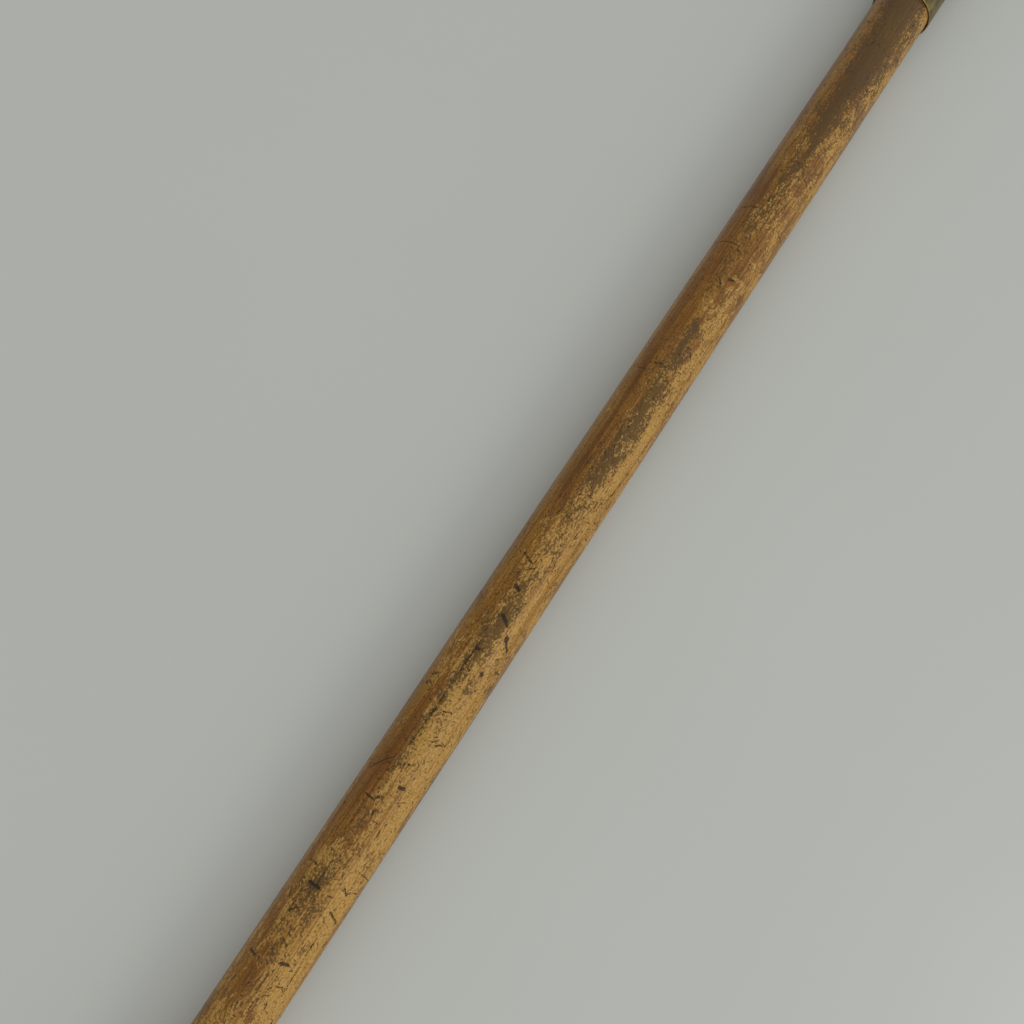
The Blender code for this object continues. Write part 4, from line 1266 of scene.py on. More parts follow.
SCARS = (
    Scar(0.399, 26, 0.0030, 20, 0.0015, 0.35),
    Scar(0.420, 11, 0.0052, 112, 0.0009, 0.30),
    Scar(0.3945, 55, 0.0040, 78, 0.0008, 0.25),
    Scar(0.3745, 7, 0.0066, 58, 0.0016, 0.22),
    Scar(0.383, 36, 0.0075, 48, 0.0012, 0.32),
    Scar(0.3815, 33, 0.0058, 35, 0.0008, 0.30),
    Scar(0.391, -4, 0.0042, 112, 0.0011, 0.28),
    Scar(0.3465, -19, 0.0075, 66, 0.0009, 0.28),
    Scar(0.346, 26, 0.0072, 124, 0.0006, 0.22),
    Scar(0.3265, -38, 0.0045, 132, 0.0007, 0.22),
    Scar(0.334, 18, 0.0030, 120, 0.0008, 0.22),
    Scar(0.409, -49, 0.0045, 118, 0.0011, 0.28),
    Scar(0.414, -54, 0.0018, 10, 0.0012, 0.25),
    Scar(0.411, -10, 0.0270, 1, 0.0006, 0.30),
    Scar(0.396, -9, 0.0180, -1, 0.0005, 0.28),
    Scar(0.428, -11, 0.0230, -1, 0.0005, 0.28),
    Scar(0.433, 33, 0.0048, 122, 0.0010, 0.28),
    Scar(0.446, 6, 0.0052, 114, 0.0008, 0.25),
    Scar(0.401, -2, 0.0045, 116, 0.0008, 0.25),
    Scar(0.4555, 18, 0.0040, 110, 0.0015, 0.38),
    Scar(0.4695, 0, 0.0024, 20, 0.0010, 0.28),
    Scar(0.5355, 16, 0.0046, 106, 0.0014, 0.38),
    Scar(0.505, -16, 0.0060, 92, 0.0014, 0.28),
    Scar(0.512, 46, 0.0080, 66, 0.0009, 0.28),
    Scar(0.501, 36, 0.0042, 50, 0.0008, 0.24),
    Scar(0.5005, 52, 0.0060, 98, 0.0007, 0.22),
    Scar(0.4985, -42, 0.0058, 94, 0.0008, 0.24),
    Scar(0.523, 67, 0.0030, 150, 0.0011, 0.26),
    Scar(0.518, -27, 0.0024, 140, 0.0013, 0.24),
    Scar(0.465, -20, 0.0058, 84, 0.0008, 0.24),
    Scar(0.4635, -8, 0.0040, 140, 0.0008, 0.22),
    Scar(0.558, 61, 0.0020, 30, 0.0013, 0.26),
    Scar(0.450, -20, 0.0055, 78, 0.0006, 0.20),
    Scar(0.539, -43, 0.0046, 84, 0.0011, 0.22),
    Scar(0.473, -60, 0.0016, 20, 0.0010, 0.22),
    Scar(0.534, 41, 0.0260, 3, 0.0005, 0.24),
    Scar(0.239, -23, 0.0062, 104, 0.0009, 0.24),
    Scar(0.2385, -8, 0.0045, 80, 0.0008, 0.24),
    Scar(0.244, -53, 0.0100, 97, 0.0006, 0.20),
    Scar(0.185, 11, 0.0034, 120, 0.0014, 0.24),
    Scar(0.146, -36, 0.0100, 99, 0.0008, 0.24),
    Scar(0.140, -13, 0.0016, 40, 0.0012, 0.24),
    Scar(0.1205, 30, 0.0090, 68, 0.0005, 0.18),
    Scar(0.360, -6, 0.0040, 60, 0.0018, 0.20),
    Scar(0.298, 52, 0.0200, -8, 0.0006, 0.20),
    Scar(0.590, 8, 0.0070, 70, 0.0010, 0.28),
    Scar(0.615, -35, 0.0050, 120, 0.0012, 0.26),
    Scar(0.636, 24, 0.0060, 40, 0.0009, 0.26),
)

GRIME, BARE = Mark.GRIME, Mark.BARE
ZONES = (
    Zone(GRIME, 0.330, 4, 0.500, 34, 0.16),
    # These four zones, next to the ferrule's mouth, are painted shade: they darken the wood beside the
    # ferrule.
    Zone(GRIME, 0.000, -4, 0.060, 34, 0.62),
    Zone(GRIME, 0.045, -2, 0.050, 22, 0.42),
    Zone(GRIME, 0.120, -8, 0.060, 14, 0.26),
    Zone(GRIME, 0.040, 44, 0.060, 34, 0.26),
    Zone(GRIME, 0.222, 1, 0.012, 7, 0.40),
    Zone(GRIME, 0.262, 10, 0.030, 18, 0.48),
    Zone(GRIME, 0.295, 6, 0.026, 14, 0.30),
    Zone(GRIME, 0.359, -4, 0.008, 14, 0.38),
    Zone(GRIME, 0.376, 8, 0.010, 18, 0.34),
    Zone(GRIME, 0.388, -4, 0.014, 12, 0.36),
    Zone(GRIME, 0.408, 16, 0.006, 8, 0.40),
    Zone(GRIME, 0.420, -10, 0.030, 6, 0.36),
    Zone(GRIME, 0.503, -16, 0.014, 16, 0.30),
    Zone(GRIME, 0.518, -8, 0.020, 20, 0.22),
    # These two long zones are painted side shading: the first darkens the pole's -Y side to amber along its
    # length, the second pales its +Y side.
    Zone(BARE, 0.350, -55, 0.700, 44, -0.30),
    Zone(BARE, 0.350, 48, 0.500, 34, 0.08),
    Zone(BARE, 0.060, 44, 0.080, 30, 0.10),
    Zone(BARE, 0.280, 36, 0.050, 30, 0.30),
    Zone(BARE, 0.310, 28, 0.030, 22, 0.20),
    Zone(BARE, 0.400, 22, 0.050, 26, 0.30),
    Zone(BARE, 0.440, 26, 0.070, 40, 0.16),
    Zone(BARE, 0.520, 26, 0.110, 56, 0.24),
    Zone(BARE, 0.610, 0, 0.060, 150, 0.16),
    Zone(BARE, 0.545, -55, 0.060, 26, 0.16),
)


@dataclass
class WoodenPole:
    """The round wooden pole, dented inwards from a true cylinder."""

    sides: int = 120
    ring_pitch: float = 0.95 * MM
    hidden_pitch: float = 12.0 * MM
    chamfer: float = 1.2 * MM
    lead_in: float = 10.0 * MM
    under_socket: float = 6.0 * MM
    front_run: float = 30.0 * MM
    wander: float = 0.16 * MM
    wander_scale: Triple = (14.0, 60.0, 60.0)
    ripple: float = 0.05 * MM
    ripple_scale: Triple = (120.0, 420.0, 420.0)
    thinnest_scar: float = 0.27 * MM
    scar_fade: float = 2.4 * MM
    dent_rim: float = 1.3
    dent_reach: float = 0.4 * MM
    zone_falloff: float = 0.7
    smooth_lead: float = 2.0 * MM

    def build(self) -> bpy.types.Object:
        """Turn the pole, dent it and lay its map and marks.

        Returns:
            The pole.
        """
        span = Span.of("wooden_pole")
        mouth = Span.of("mouth_ferrule").end
        shape = turned(self.profile(span, mouth), self.sides)
        piece = put("varnished_pole", shape, WOOD, "upper_pole", ("wooden_pole",), seat(Axis.POLE))
        points = vertex_array(piece)
        scar, dent = self.scar_field(points, mouth, span.outer)
        for mark in (Mark.BARE, Mark.GRIME):
            store(piece, mark, self.zone_field(points, mouth, mark))
        store(piece, Mark.SCAR, scar)
        self.sink(piece, points, dent, mouth)
        unroll(piece, span.outer)
        return piece

    def profile(self, span: Span, mouth: float) -> list[Point]:
        """The pole's side, with close rings only where it shows.

        Args:
            span: the pole's span.
            mouth: the ferrule's mouth.

        Returns:
            The profile from the front end to the tail.
        """
        radius = span.outer
        head = Span.of("saw_head").start
        near = mouth - self.lead_in
        shown = round((head + self.under_socket - near) / self.ring_pitch)
        tail = span.start + 2 * self.chamfer
        hidden = int((near - span.start - 2 * self.chamfer) / self.hidden_pitch)
        stations = [tail + step * self.hidden_pitch for step in range(hidden)]
        stations += [near + step * self.ring_pitch for step in range(shown + 1)]
        stations += [span.end - self.front_run, span.end - 2 * self.chamfer]
        front = [(0.0, span.end), (radius - self.chamfer, span.end), (radius, span.end - self.chamfer)]
        back = [(radius, span.start + self.chamfer), (radius - self.chamfer, span.start), (0.0, span.start)]
        return front + [(radius, station) for station in reversed(stations)] + back

    def scar_field(self, points: np.ndarray, mouth: float, radius: float) -> tuple[np.ndarray, np.ndarray]:
        """How strongly each point is scarred, and how deep.

        Args:
            points: the pole's vertices.
            mouth: the ferrule's mouth.
            radius: the pole's radius.

        Returns:
            The mask and the depth of each vertex.
        """
        station = points[:, 0] - mouth
        around = np.arctan2(points[:, 1], points[:, 2])
        mask = np.zeros(len(points))
        depth = np.zeros(len(points))
        for scar in SCARS:
            x = station - scar.station
            y = radius * (around - math.radians(scar.around))
            slant = math.radians(scar.slant)
            along = x * math.cos(slant) + y * math.sin(slant)
            across = y * math.cos(slant) - x * math.sin(slant)
            half = max(scar.width / 2, self.thinnest_scar)
            past = np.maximum(np.abs(along) - scar.length / 2 + half, 0.0)
            distance = np.hypot(across, past)
            mask = np.maximum(mask, np.clip(0.5 + (half - distance) / self.scar_fade, 0.0, 1.0))
            fall = np.clip(self.dent_rim - distance / (half + self.dent_reach), 0.0, 1.0)
            depth = np.maximum(depth, scar.depth_mm * MM * fall)
        return mask, depth

    def zone_field(self, points: np.ndarray, mouth: float, mark: Mark) -> np.ndarray:
        """Add up the soft zones of one kind.

        Args:
            points: the pole's vertices.
            mouth: the ferrule's mouth.
            mark: the kind of zone.

        Returns:
            The strength at each vertex.
        """
        station = points[:, 0] - mouth
        around = np.degrees(np.arctan2(points[:, 1], points[:, 2]))
        total = np.zeros(len(points))
        for zone in (zone for zone in ZONES if zone.mark is mark):
            away = ((station - zone.station) / zone.half_length) ** 2
            away = away + ((around - zone.around) / zone.half_angle) ** 2
            total += zone.strength * np.exp(-self.zone_falloff * away)
        return total

    def sink(self, piece: bpy.types.Object, points: np.ndarray, dent: np.ndarray, mouth: float) -> None:
        """Press scars and a slow unevenness into the pole's face.

        Args:
            piece: the pole.
            points: its vertices.
            dent: each vertex's own depth.
            mouth: the ferrule's mouth.
        """
        radial = np.hypot(points[:, 1], points[:, 2])
        shown = (points[:, 0] > mouth + self.smooth_lead) & (radial > 0.9 * radial.max())
        slow = np.array([noise.noise(Vector(p * self.wander_scale)) for p in points])
        quick = np.array([noise.noise(Vector(p * self.ripple_scale)) for p in points])
        depth = dent + self.wander * (0.5 + 0.5 * slow) + self.ripple * (0.5 + 0.5 * quick)
        share = np.where(shown, 1.0 - depth / np.maximum(radial, MM), 1.0)
        points[:, 1] *= share
        points[:, 2] *= share
        piece.data.vertices.foreach_set("co", points.astype(np.float32).ravel())
        piece.data.update()


def vertex_array(piece: bpy.types.Object) -> np.ndarray:
    """Read a piece's vertices.

    Args:
        piece: the piece.

    Returns:
        An array with a row for each vertex.
    """
    flat = np.empty(len(piece.data.vertices) * 3, np.float32)
    piece.data.vertices.foreach_get("co", flat)
    return flat.reshape(-1, 3).astype(float)


def store(piece: bpy.types.Object, mark: Mark, values: np.ndarray) -> None:
    """Keep a value for each vertex.

    Args:
        piece: the piece.
        mark: the name to keep it by.
        values: a value for each vertex.
    """
    layer = piece.data.attributes.new(mark.value, "FLOAT", "POINT")
    layer.data.foreach_set("value", values.astype(np.float32))


def unroll(piece: bpy.types.Object, radius: float) -> None:
    """Map a round piece in metres, along the pole and round it, with the seam underneath.

    Args:
        piece: the piece, whose axis is the pole's.
        radius: the radius that round is measured at.
    """
    mesh = piece.data
    layer = mesh.uv_layers.new(name="along_and_round")
    points = vertex_array(piece)
    corners = np.empty(len(mesh.loops), np.int32)
    mesh.loops.foreach_get("vertex_index", corners)
    around = np.arctan2(points[corners, 1], points[corners, 2])
    starts = np.empty(len(mesh.polygons), np.int32)
    mesh.polygons.foreach_get("loop_start", starts)
    high = np.maximum.reduceat(around, starts)
    low = np.minimum.reduceat(around, starts)
    totals = np.diff(np.append(starts, len(corners)))
    crossing = np.repeat(high - low > math.pi, totals)
    around = np.where(crossing & (around < 0), around + 2 * math.pi, around)
    pairs = np.stack([points[corners, 0], radius * around], axis=1)
    layer.data.foreach_set("uv", pairs.astype(np.float32).ravel())


# ---------------------------------------------------------------- the handle


@dataclass
class HandleSection:
    """The steel tube, its rubber grips, the butt cap and the guide parts inside."""

    tube_edge: float = 0.45 * MM
    tube_ring_pitch: float = 9.0 * MM
    rib_pitch: float = 3.2 * MM
    rib_depth: float = 0.35 * MM
    rib_shares: Triple = (0.5, 0.62, 0.88)
    rib_angle: float = math.radians(60.0)
    plain_end: float = 6.0 * MM
    plain_lip: float = 2.0 * MM
    rubber_edge: float = 0.9 * MM
    groove_pitch: float = 24.0 * MM
    groove_depth: float = 0.7 * MM
    groove_width: float = 4.0 * MM
    groove_slope: Point = (0.5 * MM, 0.3 * MM)
    groove_gap: float = 0.4 * MM
    cap_round: float = 3.4 * MM
    cap_edge: float = 0.3 * MM
    tread_depth: float = 0.6 * MM
    tread_mm: tuple[Point, ...] = ((0.0, 1), (4.0, 1), (4.6, 0), (8.0, 0), (8.4, 1), (10.0, 1), (10.5, 0))
    cap_lip_mm: tuple[Point, ...] = ((0.0, 7.0), (0.8, 6.0), (0.8, 4.0), (0.0, 3.0), (0.0, 0.9), (0.9, 0.0))

    def build(self) -> None:
        """Build every piece of the handle."""
        self.tube()
        for node, name in (("hand_grip", "ribbed_hand_grip"), ("fore_grip", "ribbed_fore_grip")):
            self.grip(node, name)
        self.cap()
        for node in ("guide_bush", "stop_collar", "tail_washer"):
            dress(node, BRASS)
        for node in ("stop_collar_pin", "tail_screw"):
            dress(node, ZINC)

    def tube(self) -> None:
        """The drawn tube, with its ends eased."""
        span = Span.of("handle_tube")
        profile = stepped(eased(span.corners, self.tube_edge, ring=True), self.tube_ring_pitch)
        piece = put("enamelled_tube", turned(profile, 128, ring=True), ENAMEL, "lower_pole",
                    ("handle_tube",), seat(Axis.POLE))
        unroll(piece, span.outer)

    def grip(self, node: str, name: str) -> None:
        """A rubber sleeve with fine ribs between plain grooves.

        Args:
            node: the CAD node that it stands for.
            name: the piece's name.
        """
        span = Span.of(node)
        outer, inner = span.outer, span.inner
        groove = min(self.groove_depth, 0.5 * (outer - inner))
        rib = min(self.rib_depth, 0.3 * (outer - inner))
        half = self.groove_width / 2
        top, foot = self.groove_slope
        crest, dip, rise = self.rib_shares
        count = int((span.length - self.groove_pitch) / self.groove_pitch)
        first = span.start + (span.length - (count - 1) * self.groove_pitch) / 2
        grooves = [first + index * self.groove_pitch for index in range(count)]
        side: list[Point] = [(outer - self.rubber_edge, span.start), (outer, span.start + self.rubber_edge)]
        station = span.start + self.plain_end
        while station < span.end - self.plain_end:
            middle = min(grooves, key=lambda place: abs(station - place))
            if abs(station - middle) < self.groove_width:
                side += [(outer, middle - half - top), (outer - groove, middle - half + foot),
                         (outer - groove, middle + half - foot), (outer, middle + half + top)]
                station = middle + self.groove_width + self.groove_gap
                continue
            side += [(outer, station), (outer, station + crest * self.rib_pitch)]
            side += [(outer - rib, station + share * self.rib_pitch) for share in (dip, rise)]
            station += self.rib_pitch
        side = [point for point in side if point[1] < span.end - self.plain_lip]
        side += [(outer, span.end - self.rubber_edge), (outer - self.rubber_edge, span.end)]
        shape = turned([(inner, span.end), (inner, span.start)] + side, ring=True)
        put(name, shape, RUBBER, "lower_pole", (node,), seat(Axis.POLE), self.rib_angle)

    def cap(self) -> None:
        """The butt cap, with a rolled lip and three bands of tread on its end."""
        span = Span.of("butt_cap")
        tube = Span.of("handle_tube")
        bore, floor = tube.outer + FIT_GAP, tube.start - FIT_GAP
        outer, bend = span.outer, self.cap_round
        face = [(radius * MM, span.start + sunk * self.tread_depth) for radius, sunk in self.tread_mm]
        face.append((outer - bend, span.start))
        round_end = [(outer - bend * (1 - math.sin(a)), span.start + bend * (1 - math.cos(a)))
                     for a in map(math.radians, (18, 36, 54, 72, 90))]
        body = [(outer - drop * MM, span.end - back * MM) for drop, back in self.cap_lip_mm]
        body += [(bore, span.end), (bore, floor), (0.0, floor)]
        profile = face + round_end + eased([round_end[-1]] + body, self.cap_edge)[1:]
        put("moulded_butt_cap", turned(profile), RUBBER, "lower_pole", ("butt_cap",), seat(Axis.POLE))


# ---------------------------------------------------------------- the ferrule and its clamp


@dataclass
class FerruleSection:
    """The brass mouth ferrule, its rivets, and the clamp with its thumbscrew."""

    rivet_sides: tuple[str, ...] = ("left", "right")
    bore_gap: float = 0.5 * MM
    lead_edge: Point = (0.3 * MM, 0.4 * MM)
    bead_height: float = 0.5 * MM
    bead_half: Point = (1.2 * MM, 0.8 * MM)
    bead_places: Triple = (4.0 * MM, 8.0 * MM, 8.0 * MM)
    taper_after: float = 2.5 * MM
    shoulder_round: tuple[Point, ...] = ((0.0, -2.2), (0.7, -1.1))
    taper_curve: tuple[Point, ...] = ((0.6, 0.0), (0.25, 2.0), (0.05, 4.0), (0.0, 5.0))
    edge: float = 0.3 * MM
    ring_pitch: float = 3.0 * MM
    rivet_rise: float = 1.1 * MM
    collar_edge: float = 0.35 * MM
    collar_angle: float = 25.0
    thread_pitch: float = 1.0 * MM
    thread_depth: float = 0.45 * MM
    screw_radius: float = 3.0 * MM
    screw_point: Point = (1.8 * MM, 2.0 * MM)
    wings_height: float = 15.0 * MM

    def build(self) -> None:
        """Build every piece of the ferrule and the clamp."""
        self.ferrule()
        for side in self.rivet_sides:
            self.rivet(f"ferrule_rivet_{side}", f"domed_ferrule_rivet_{side}")
        self.collar()
        dress("clamp_shoe", BRASS)
        self.thumbscrew()

    def ferrule(self) -> None:
        """The ferrule: sleeve, beads, shoulder, taper and a mouth with a rolled lip."""
        span, tube = Span.of("mouth_ferrule"), Span.of("handle_tube")
        nose = Span.of("clamp_collar").inner - FIT_GAP
        bore = Span.of("wooden_pole").outer + self.bore_gap
        sleeve_bore, shoulder = tube.outer + FIT_GAP, tube.end + FIT_GAP
        outer, bead = span.outer, span.outer - self.bead_height
        taper = shoulder + self.taper_after
        rear, middle, front = self.bead_places
        foot, crown = self.bead_half
        outside = [(outer - self.lead_edge[0], span.start), (outer, span.start + self.lead_edge[1])]
        for station in (span.start + rear, span.start + middle, shoulder - front):
            outside += [(outer, station - foot), (bead, station - crown), (bead, station + crown),
                        (outer, station + foot)]
        outside += [(outer - drop * MM, taper + past * MM) for drop, past in self.shoulder_round]
        outside += [(nose + share * (outer - nose), taper + past * MM) for share, past in self.taper_curve]
        lip = (nose - bore) / 2
        mouth = [(nose, span.end - lip)]
        mouth += [(bore + lip + lip * math.cos(a), span.end - lip + lip * math.sin(a))
                  for a in map(math.radians, (30, 60, 90, 120, 150, 180))]
        inside = [(bore, shoulder), (sleeve_bore, shoulder), (sleeve_bore, span.start)]
        profile = stepped(eased(outside, self.edge) + mouth + inside, self.ring_pitch)
        piece = put("brass_mouth_ferrule", turned(profile, 160, ring=True), BRASS, "lower_pole",
                    ("mouth_ferrule",), seat(Axis.POLE))
        unroll(piece, nose)

    def rivet(self, node: str, name: str) -> None:
        """A domed rivet through the sleeve's wall.

        Args:
            node: the CAD node that it stands for.
            name: the piece's name.
        """
        low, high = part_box(node)
        out = Vector((0.0, 1.0 if high.y > -low.y else -1.0, 0.0))
        tip, root = max(high.y, -low.y), min(abs(high.y), abs(low.y))
        base = tip - self.rivet_rise
        points = points_of(node)
        deep = points[np.abs(points[:, 1]) < root + 0.2 * MM]
        offsets = deep[:, (0, 2)] - deep[:, (0, 2)].mean(axis=0)
        shank = float(np.hypot(offsets[:, 0], offsets[:, 1]).max())
        profile = dome((high.x - low.x) / 2, base, tip - base) + [(shank, base), (shank, root), (0.0, root)]
        centre = Vector(((low.x + high.x) / 2, 0.0, (low.z + high.z) / 2))
        turn = Vector((0.0, 0.0, 1.0)).rotation_difference(out).to_matrix().to_4x4()
        put(name, turned(profile, 40), BRASS, "lower_pole", (node,), Matrix.Translation(centre) @ turn)

    def collar(self) -> None:
        """The clamp's ring and boss, with every edge rounded."""
        shape = merged_copy("clamp_collar")
        piece = put("clamp_ring_and_boss", shape, BRASS, "lower_pole", ("clamp_collar",))
        round_edges(piece, self.collar_edge, self.collar_angle)

    def thumbscrew(self) -> None:
        """The thumbscrew: tip, threaded shank, hub and two rounded wings."""
        span = Span.of("thumbscrew", Axis.CLAMP)
        hub_low = span.end - self.wings_height
        radius, root = self.screw_radius, self.screw_radius - self.thread_depth
        tip, length = self.screw_point
        neck = span.start + length
        core = [(0.0, hub_low + 1 * MM), (root, hub_low + 1 * MM), (root, neck + 0.4 * MM), (tip, neck),
                (tip, span.start + 0.3 * MM), (tip - 0.3 * MM, span.start), (0.0, span.start)]
        ridge = thread_ridge(root, radius, self.thread_pitch, neck + 0.3 * MM, hub_low)
        shape = joined(winged(span, THUMBSCREW_WINGS, self.wings_height), turned(core, 40), ridge)
        place = seat(Axis.CLAMP, farthest("thumbscrew", Axis.CLAMP))
        put("winged_thumbscrew", shape, BRASS, "thumbscrew", ("thumbscrew",), place)


def round_edges(piece: bpy.types.Object, width: float, angle: float) -> None:
    """Round a piece's edges with a bevel.

    Args:
        piece: the piece.
        width: the bevel's width.
        angle: the angle in degrees past which an edge is rounded.
    """
    bevel = piece.modifiers.new("rounded_edges", "BEVEL")
    bevel.width = width
    bevel.segments = 3
    bevel.limit_method = "ANGLE"
    bevel.angle_limit = math.radians(angle)
    bevel.harden_normals = False
    bevel.miter_outer = "MITER_ARC"
    bevel.use_clamp_overlap = True


@dataclass(frozen=True)
class Wings:
    """The sizes of a hub with two rounded wings.

    The wing's corners are shares of its reach and of its height.
    """

    hub_radius: float
    hub_height: float
    thickness: float
    bore: float = 0.0
    hub_edge: float = 0.45 * MM
    tip_round: float = 2.6 * MM
    rim_share: float = 0.32
    foot_share: float = 0.14
    neck_share: float = 0.80
    corners: tuple[Point, ...] = ((0.93, 0.45), (0.992, 0.70), (0.98, 0.86), (0.88, 1.0), (0.72, 0.995),
                                  (0.56, 0.80))


THUMBSCREW_WINGS = Wings(5.5 * MM, 8.0 * MM, 2.8 * MM)


def winged(span: Span, sizes: Wings, height: float) -> bmesh.types.BMesh:
    """A hub with two rounded wings, standing along Z.

    Args:
        span: the CAD node's span about the hub's axis, whose end the wings reach.
        sizes: the hub's and the wings' sizes.
        height: the wings' height over the hub's foot.

    Returns:
        The bmesh, with its wings along X.
    """
    foot = span.end - height
    crown = foot + sizes.hub_height
    radius, bore = sizes.hub_radius, sizes.bore
    side = [(bore, crown), (0.74 * radius, crown), (0.84 * radius, crown - 0.7 * MM),
            (radius, foot + 0.24 * sizes.hub_height), (radius, foot), (bore, foot)]
    hub = turned(eased(side, sizes.hub_edge, ring=bore > 0), 64, ring=bore > 0)
    start = max(0.5 * radius, bore + 0.6 * MM)
    low = sizes.foot_share * sizes.hub_height
    wing = [(start, low), (radius, low)]
    wing += [(out * span.outer, up * height) for out, up in sizes.corners]
    wing.append((start, sizes.neck_share * sizes.hub_height))
    ears = []
    for turn in (0.0, math.pi):
        outline = eased([(x, y + foot) for x, y in wing], sizes.tip_round, ring=True)
        ear = slab(outline, -sizes.thickness / 2, sizes.thickness / 2, sizes.rim_share * sizes.thickness)
        ear.transform(Matrix.Rotation(turn, 4, "Z") @ Matrix.Rotation(math.pi / 2, 4, "X"))
        ears.append(ear)
    return joined(hub, *ears)


# ---------------------------------------------------------------- the saw head


@dataclass
class HeadSection:
    """The forged head, its rivets, the pivot bolt, and both wing nuts with their washers."""

    thread_pitch: float = 1.0 * MM
    thread_depth: float = 0.45 * MM
    bolt_radius: float = 2.9 * MM
    neck_share: float = 0.7
    nut_wings: Wings = Wings(6.0 * MM, 7.0 * MM, 2.2 * MM, bore=3.25 * MM)
    washer_edge: float = 0.28 * MM
    ring_pitch: float = 4.0 * MM
    flat_area: float = 150 * MM * MM
    flat_margin: float = 0.9 * MM
    forged_edge: float = 0.5 * MM
    forged_angle: float = 32.0
    rivet_rise: float = 1.6 * MM
    shank_share: float = 0.55

    def build(self) -> None:
        """Build every piece of the head."""
        self.forging()
        for end in ("rear", "front"):
            self.rivet(f"head_rivet_{end}")
        for word, axis, body in (("pivot", Axis.PIVOT, "upper_pole"), ("lock", Axis.LOCK, "blade")):
            self.bolt(f"{word}_bolt", f"{word}_carriage_bolt", axis, body)
            self.washer(f"{word}_washer", axis, f"{word}_washer")
            self.nut(f"{word}_wing_nut", axis, f"{word}_nut")

    def forging(self) -> None:
        """The socket and quadrant plate, with every edge rounded."""
        shape = merged_copy("saw_head")
        flats = [f for f in shape.faces if abs(f.normal.z) > 0.9 and f.calc_area() > self.flat_area]
        bmesh.ops.inset_individual(shape, faces=flats, thickness=self.flat_margin, use_even_offset=True)
        span = Span.of("saw_head")
        for number in range(1, int(span.length / self.ring_pitch) + 1):
            everything = shape.verts[:] + shape.edges[:] + shape.faces[:]
            bmesh.ops.bisect_plane(shape, geom=everything, dist=MERGE, plane_no=(1, 0, 0),
                                   plane_co=(span.start + number * self.ring_pitch, 0, 0))
        piece = put("forged_saw_head", shape, IRON, "upper_pole", ("saw_head",))
        round_edges(piece, self.forged_edge, self.forged_angle)

    def rivet(self, node: str) -> None:
        """A rivet across the socket, domed at both ends.

        Args:
            node: the CAD node that it stands for.
        """
        low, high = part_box(node)
        head, rise = (high.x - low.x) / 2, self.rivet_rise
        shank = self.shank_share * head
        top, bottom = high.y - rise, low.y + rise
        profile = dome(head, top, rise) + [(shank, top), (shank, bottom)] + dome(head, bottom, -rise)[::-1]
        centre = Matrix.Translation(((low.x + high.x) / 2, 0.0, (low.z + high.z) / 2))
        place = centre @ Matrix.Rotation(-math.pi / 2, 4, "X")
        put(f"domed_{node}", turned(profile, 40), ZINC, "upper_pole", (node,), place)

    def bolt(self, node: str, name: str, axis: Axis, body: str) -> None:
        """A carriage bolt: domed head, square neck and threaded shank.

        Args:
            node: the CAD node that it stands for.
            name: the piece's name.
            axis: the line that it lies on.
            body: the body that it rides on.
        """
        span = Span.of(node, axis)
        points = points_of(node) - np.array(axis.origin)
        line = np.array(axis.direction)
        heights = points @ line
        wide = np.linalg.norm(points - np.outer(heights, line), axis=1)
        base = float(heights[wide > 0.97 * span.outer].max())
        neck = (heights > base + 0.1 * MM) & (wide > self.bolt_radius + 0.3 * MM)
        corner, top = float(wide[neck].max()), float(heights[neck].max())
        core, flat = self.bolt_radius - self.thread_depth, corner * self.neck_share
        profile = [(0.0, span.end), (core - 0.3 * MM, span.end), (core, span.end - 0.4 * MM), (core, top),
                   (flat, top - 0.1 * MM), (flat, base), (span.outer - 0.3 * MM, base)]
        crown = dome(span.outer, base - 0.4 * MM, span.start - base + 0.4 * MM, steps=9)[::-1]
        square = [(corner * math.cos(a), corner * math.sin(a))
                  for a in map(math.radians, (45, 135, 225, 315))]
        neck_slab = slab(square, base - 0.6 * MM, top - 0.05 * MM, 0.12 * MM)
        ridge = thread_ridge(core, self.bolt_radius, self.thread_pitch, top, span.end - 0.2 * MM)
        shape = joined(turned(profile + crown, 48), neck_slab, ridge)
        put(name, shape, ZINC, body, (node,), seat(axis, Vector((1.0, 0.0, 0.0))))

    def washer(self, node: str, axis: Axis, body: str) -> None:
        """A flat washer with its edges eased by punching.

        Args:
            node: the CAD node that it stands for.
            axis: the line that it lies on.
            body: the body that it rides on.
        """
        profile = eased(Span.of(node, axis).corners, self.washer_edge, ring=True)
        put(f"punched_{node}", turned(profile, 72, ring=True), ZINC, body, (node,), seat(axis))

    def nut(self, node: str, axis: Axis, body: str) -> None:
        """A wing nut with rounded wings.

        Args:
            node: the CAD node that it stands for.
            axis: the line that it lies on.
            body: the body that it rides on.
        """
        span = Span.of(node, axis)
        shape = winged(span, self.nut_wings, span.length)
        put(f"cast_{node}", shape, ZINC, body, (node,), seat(axis, farthest(node, axis)))


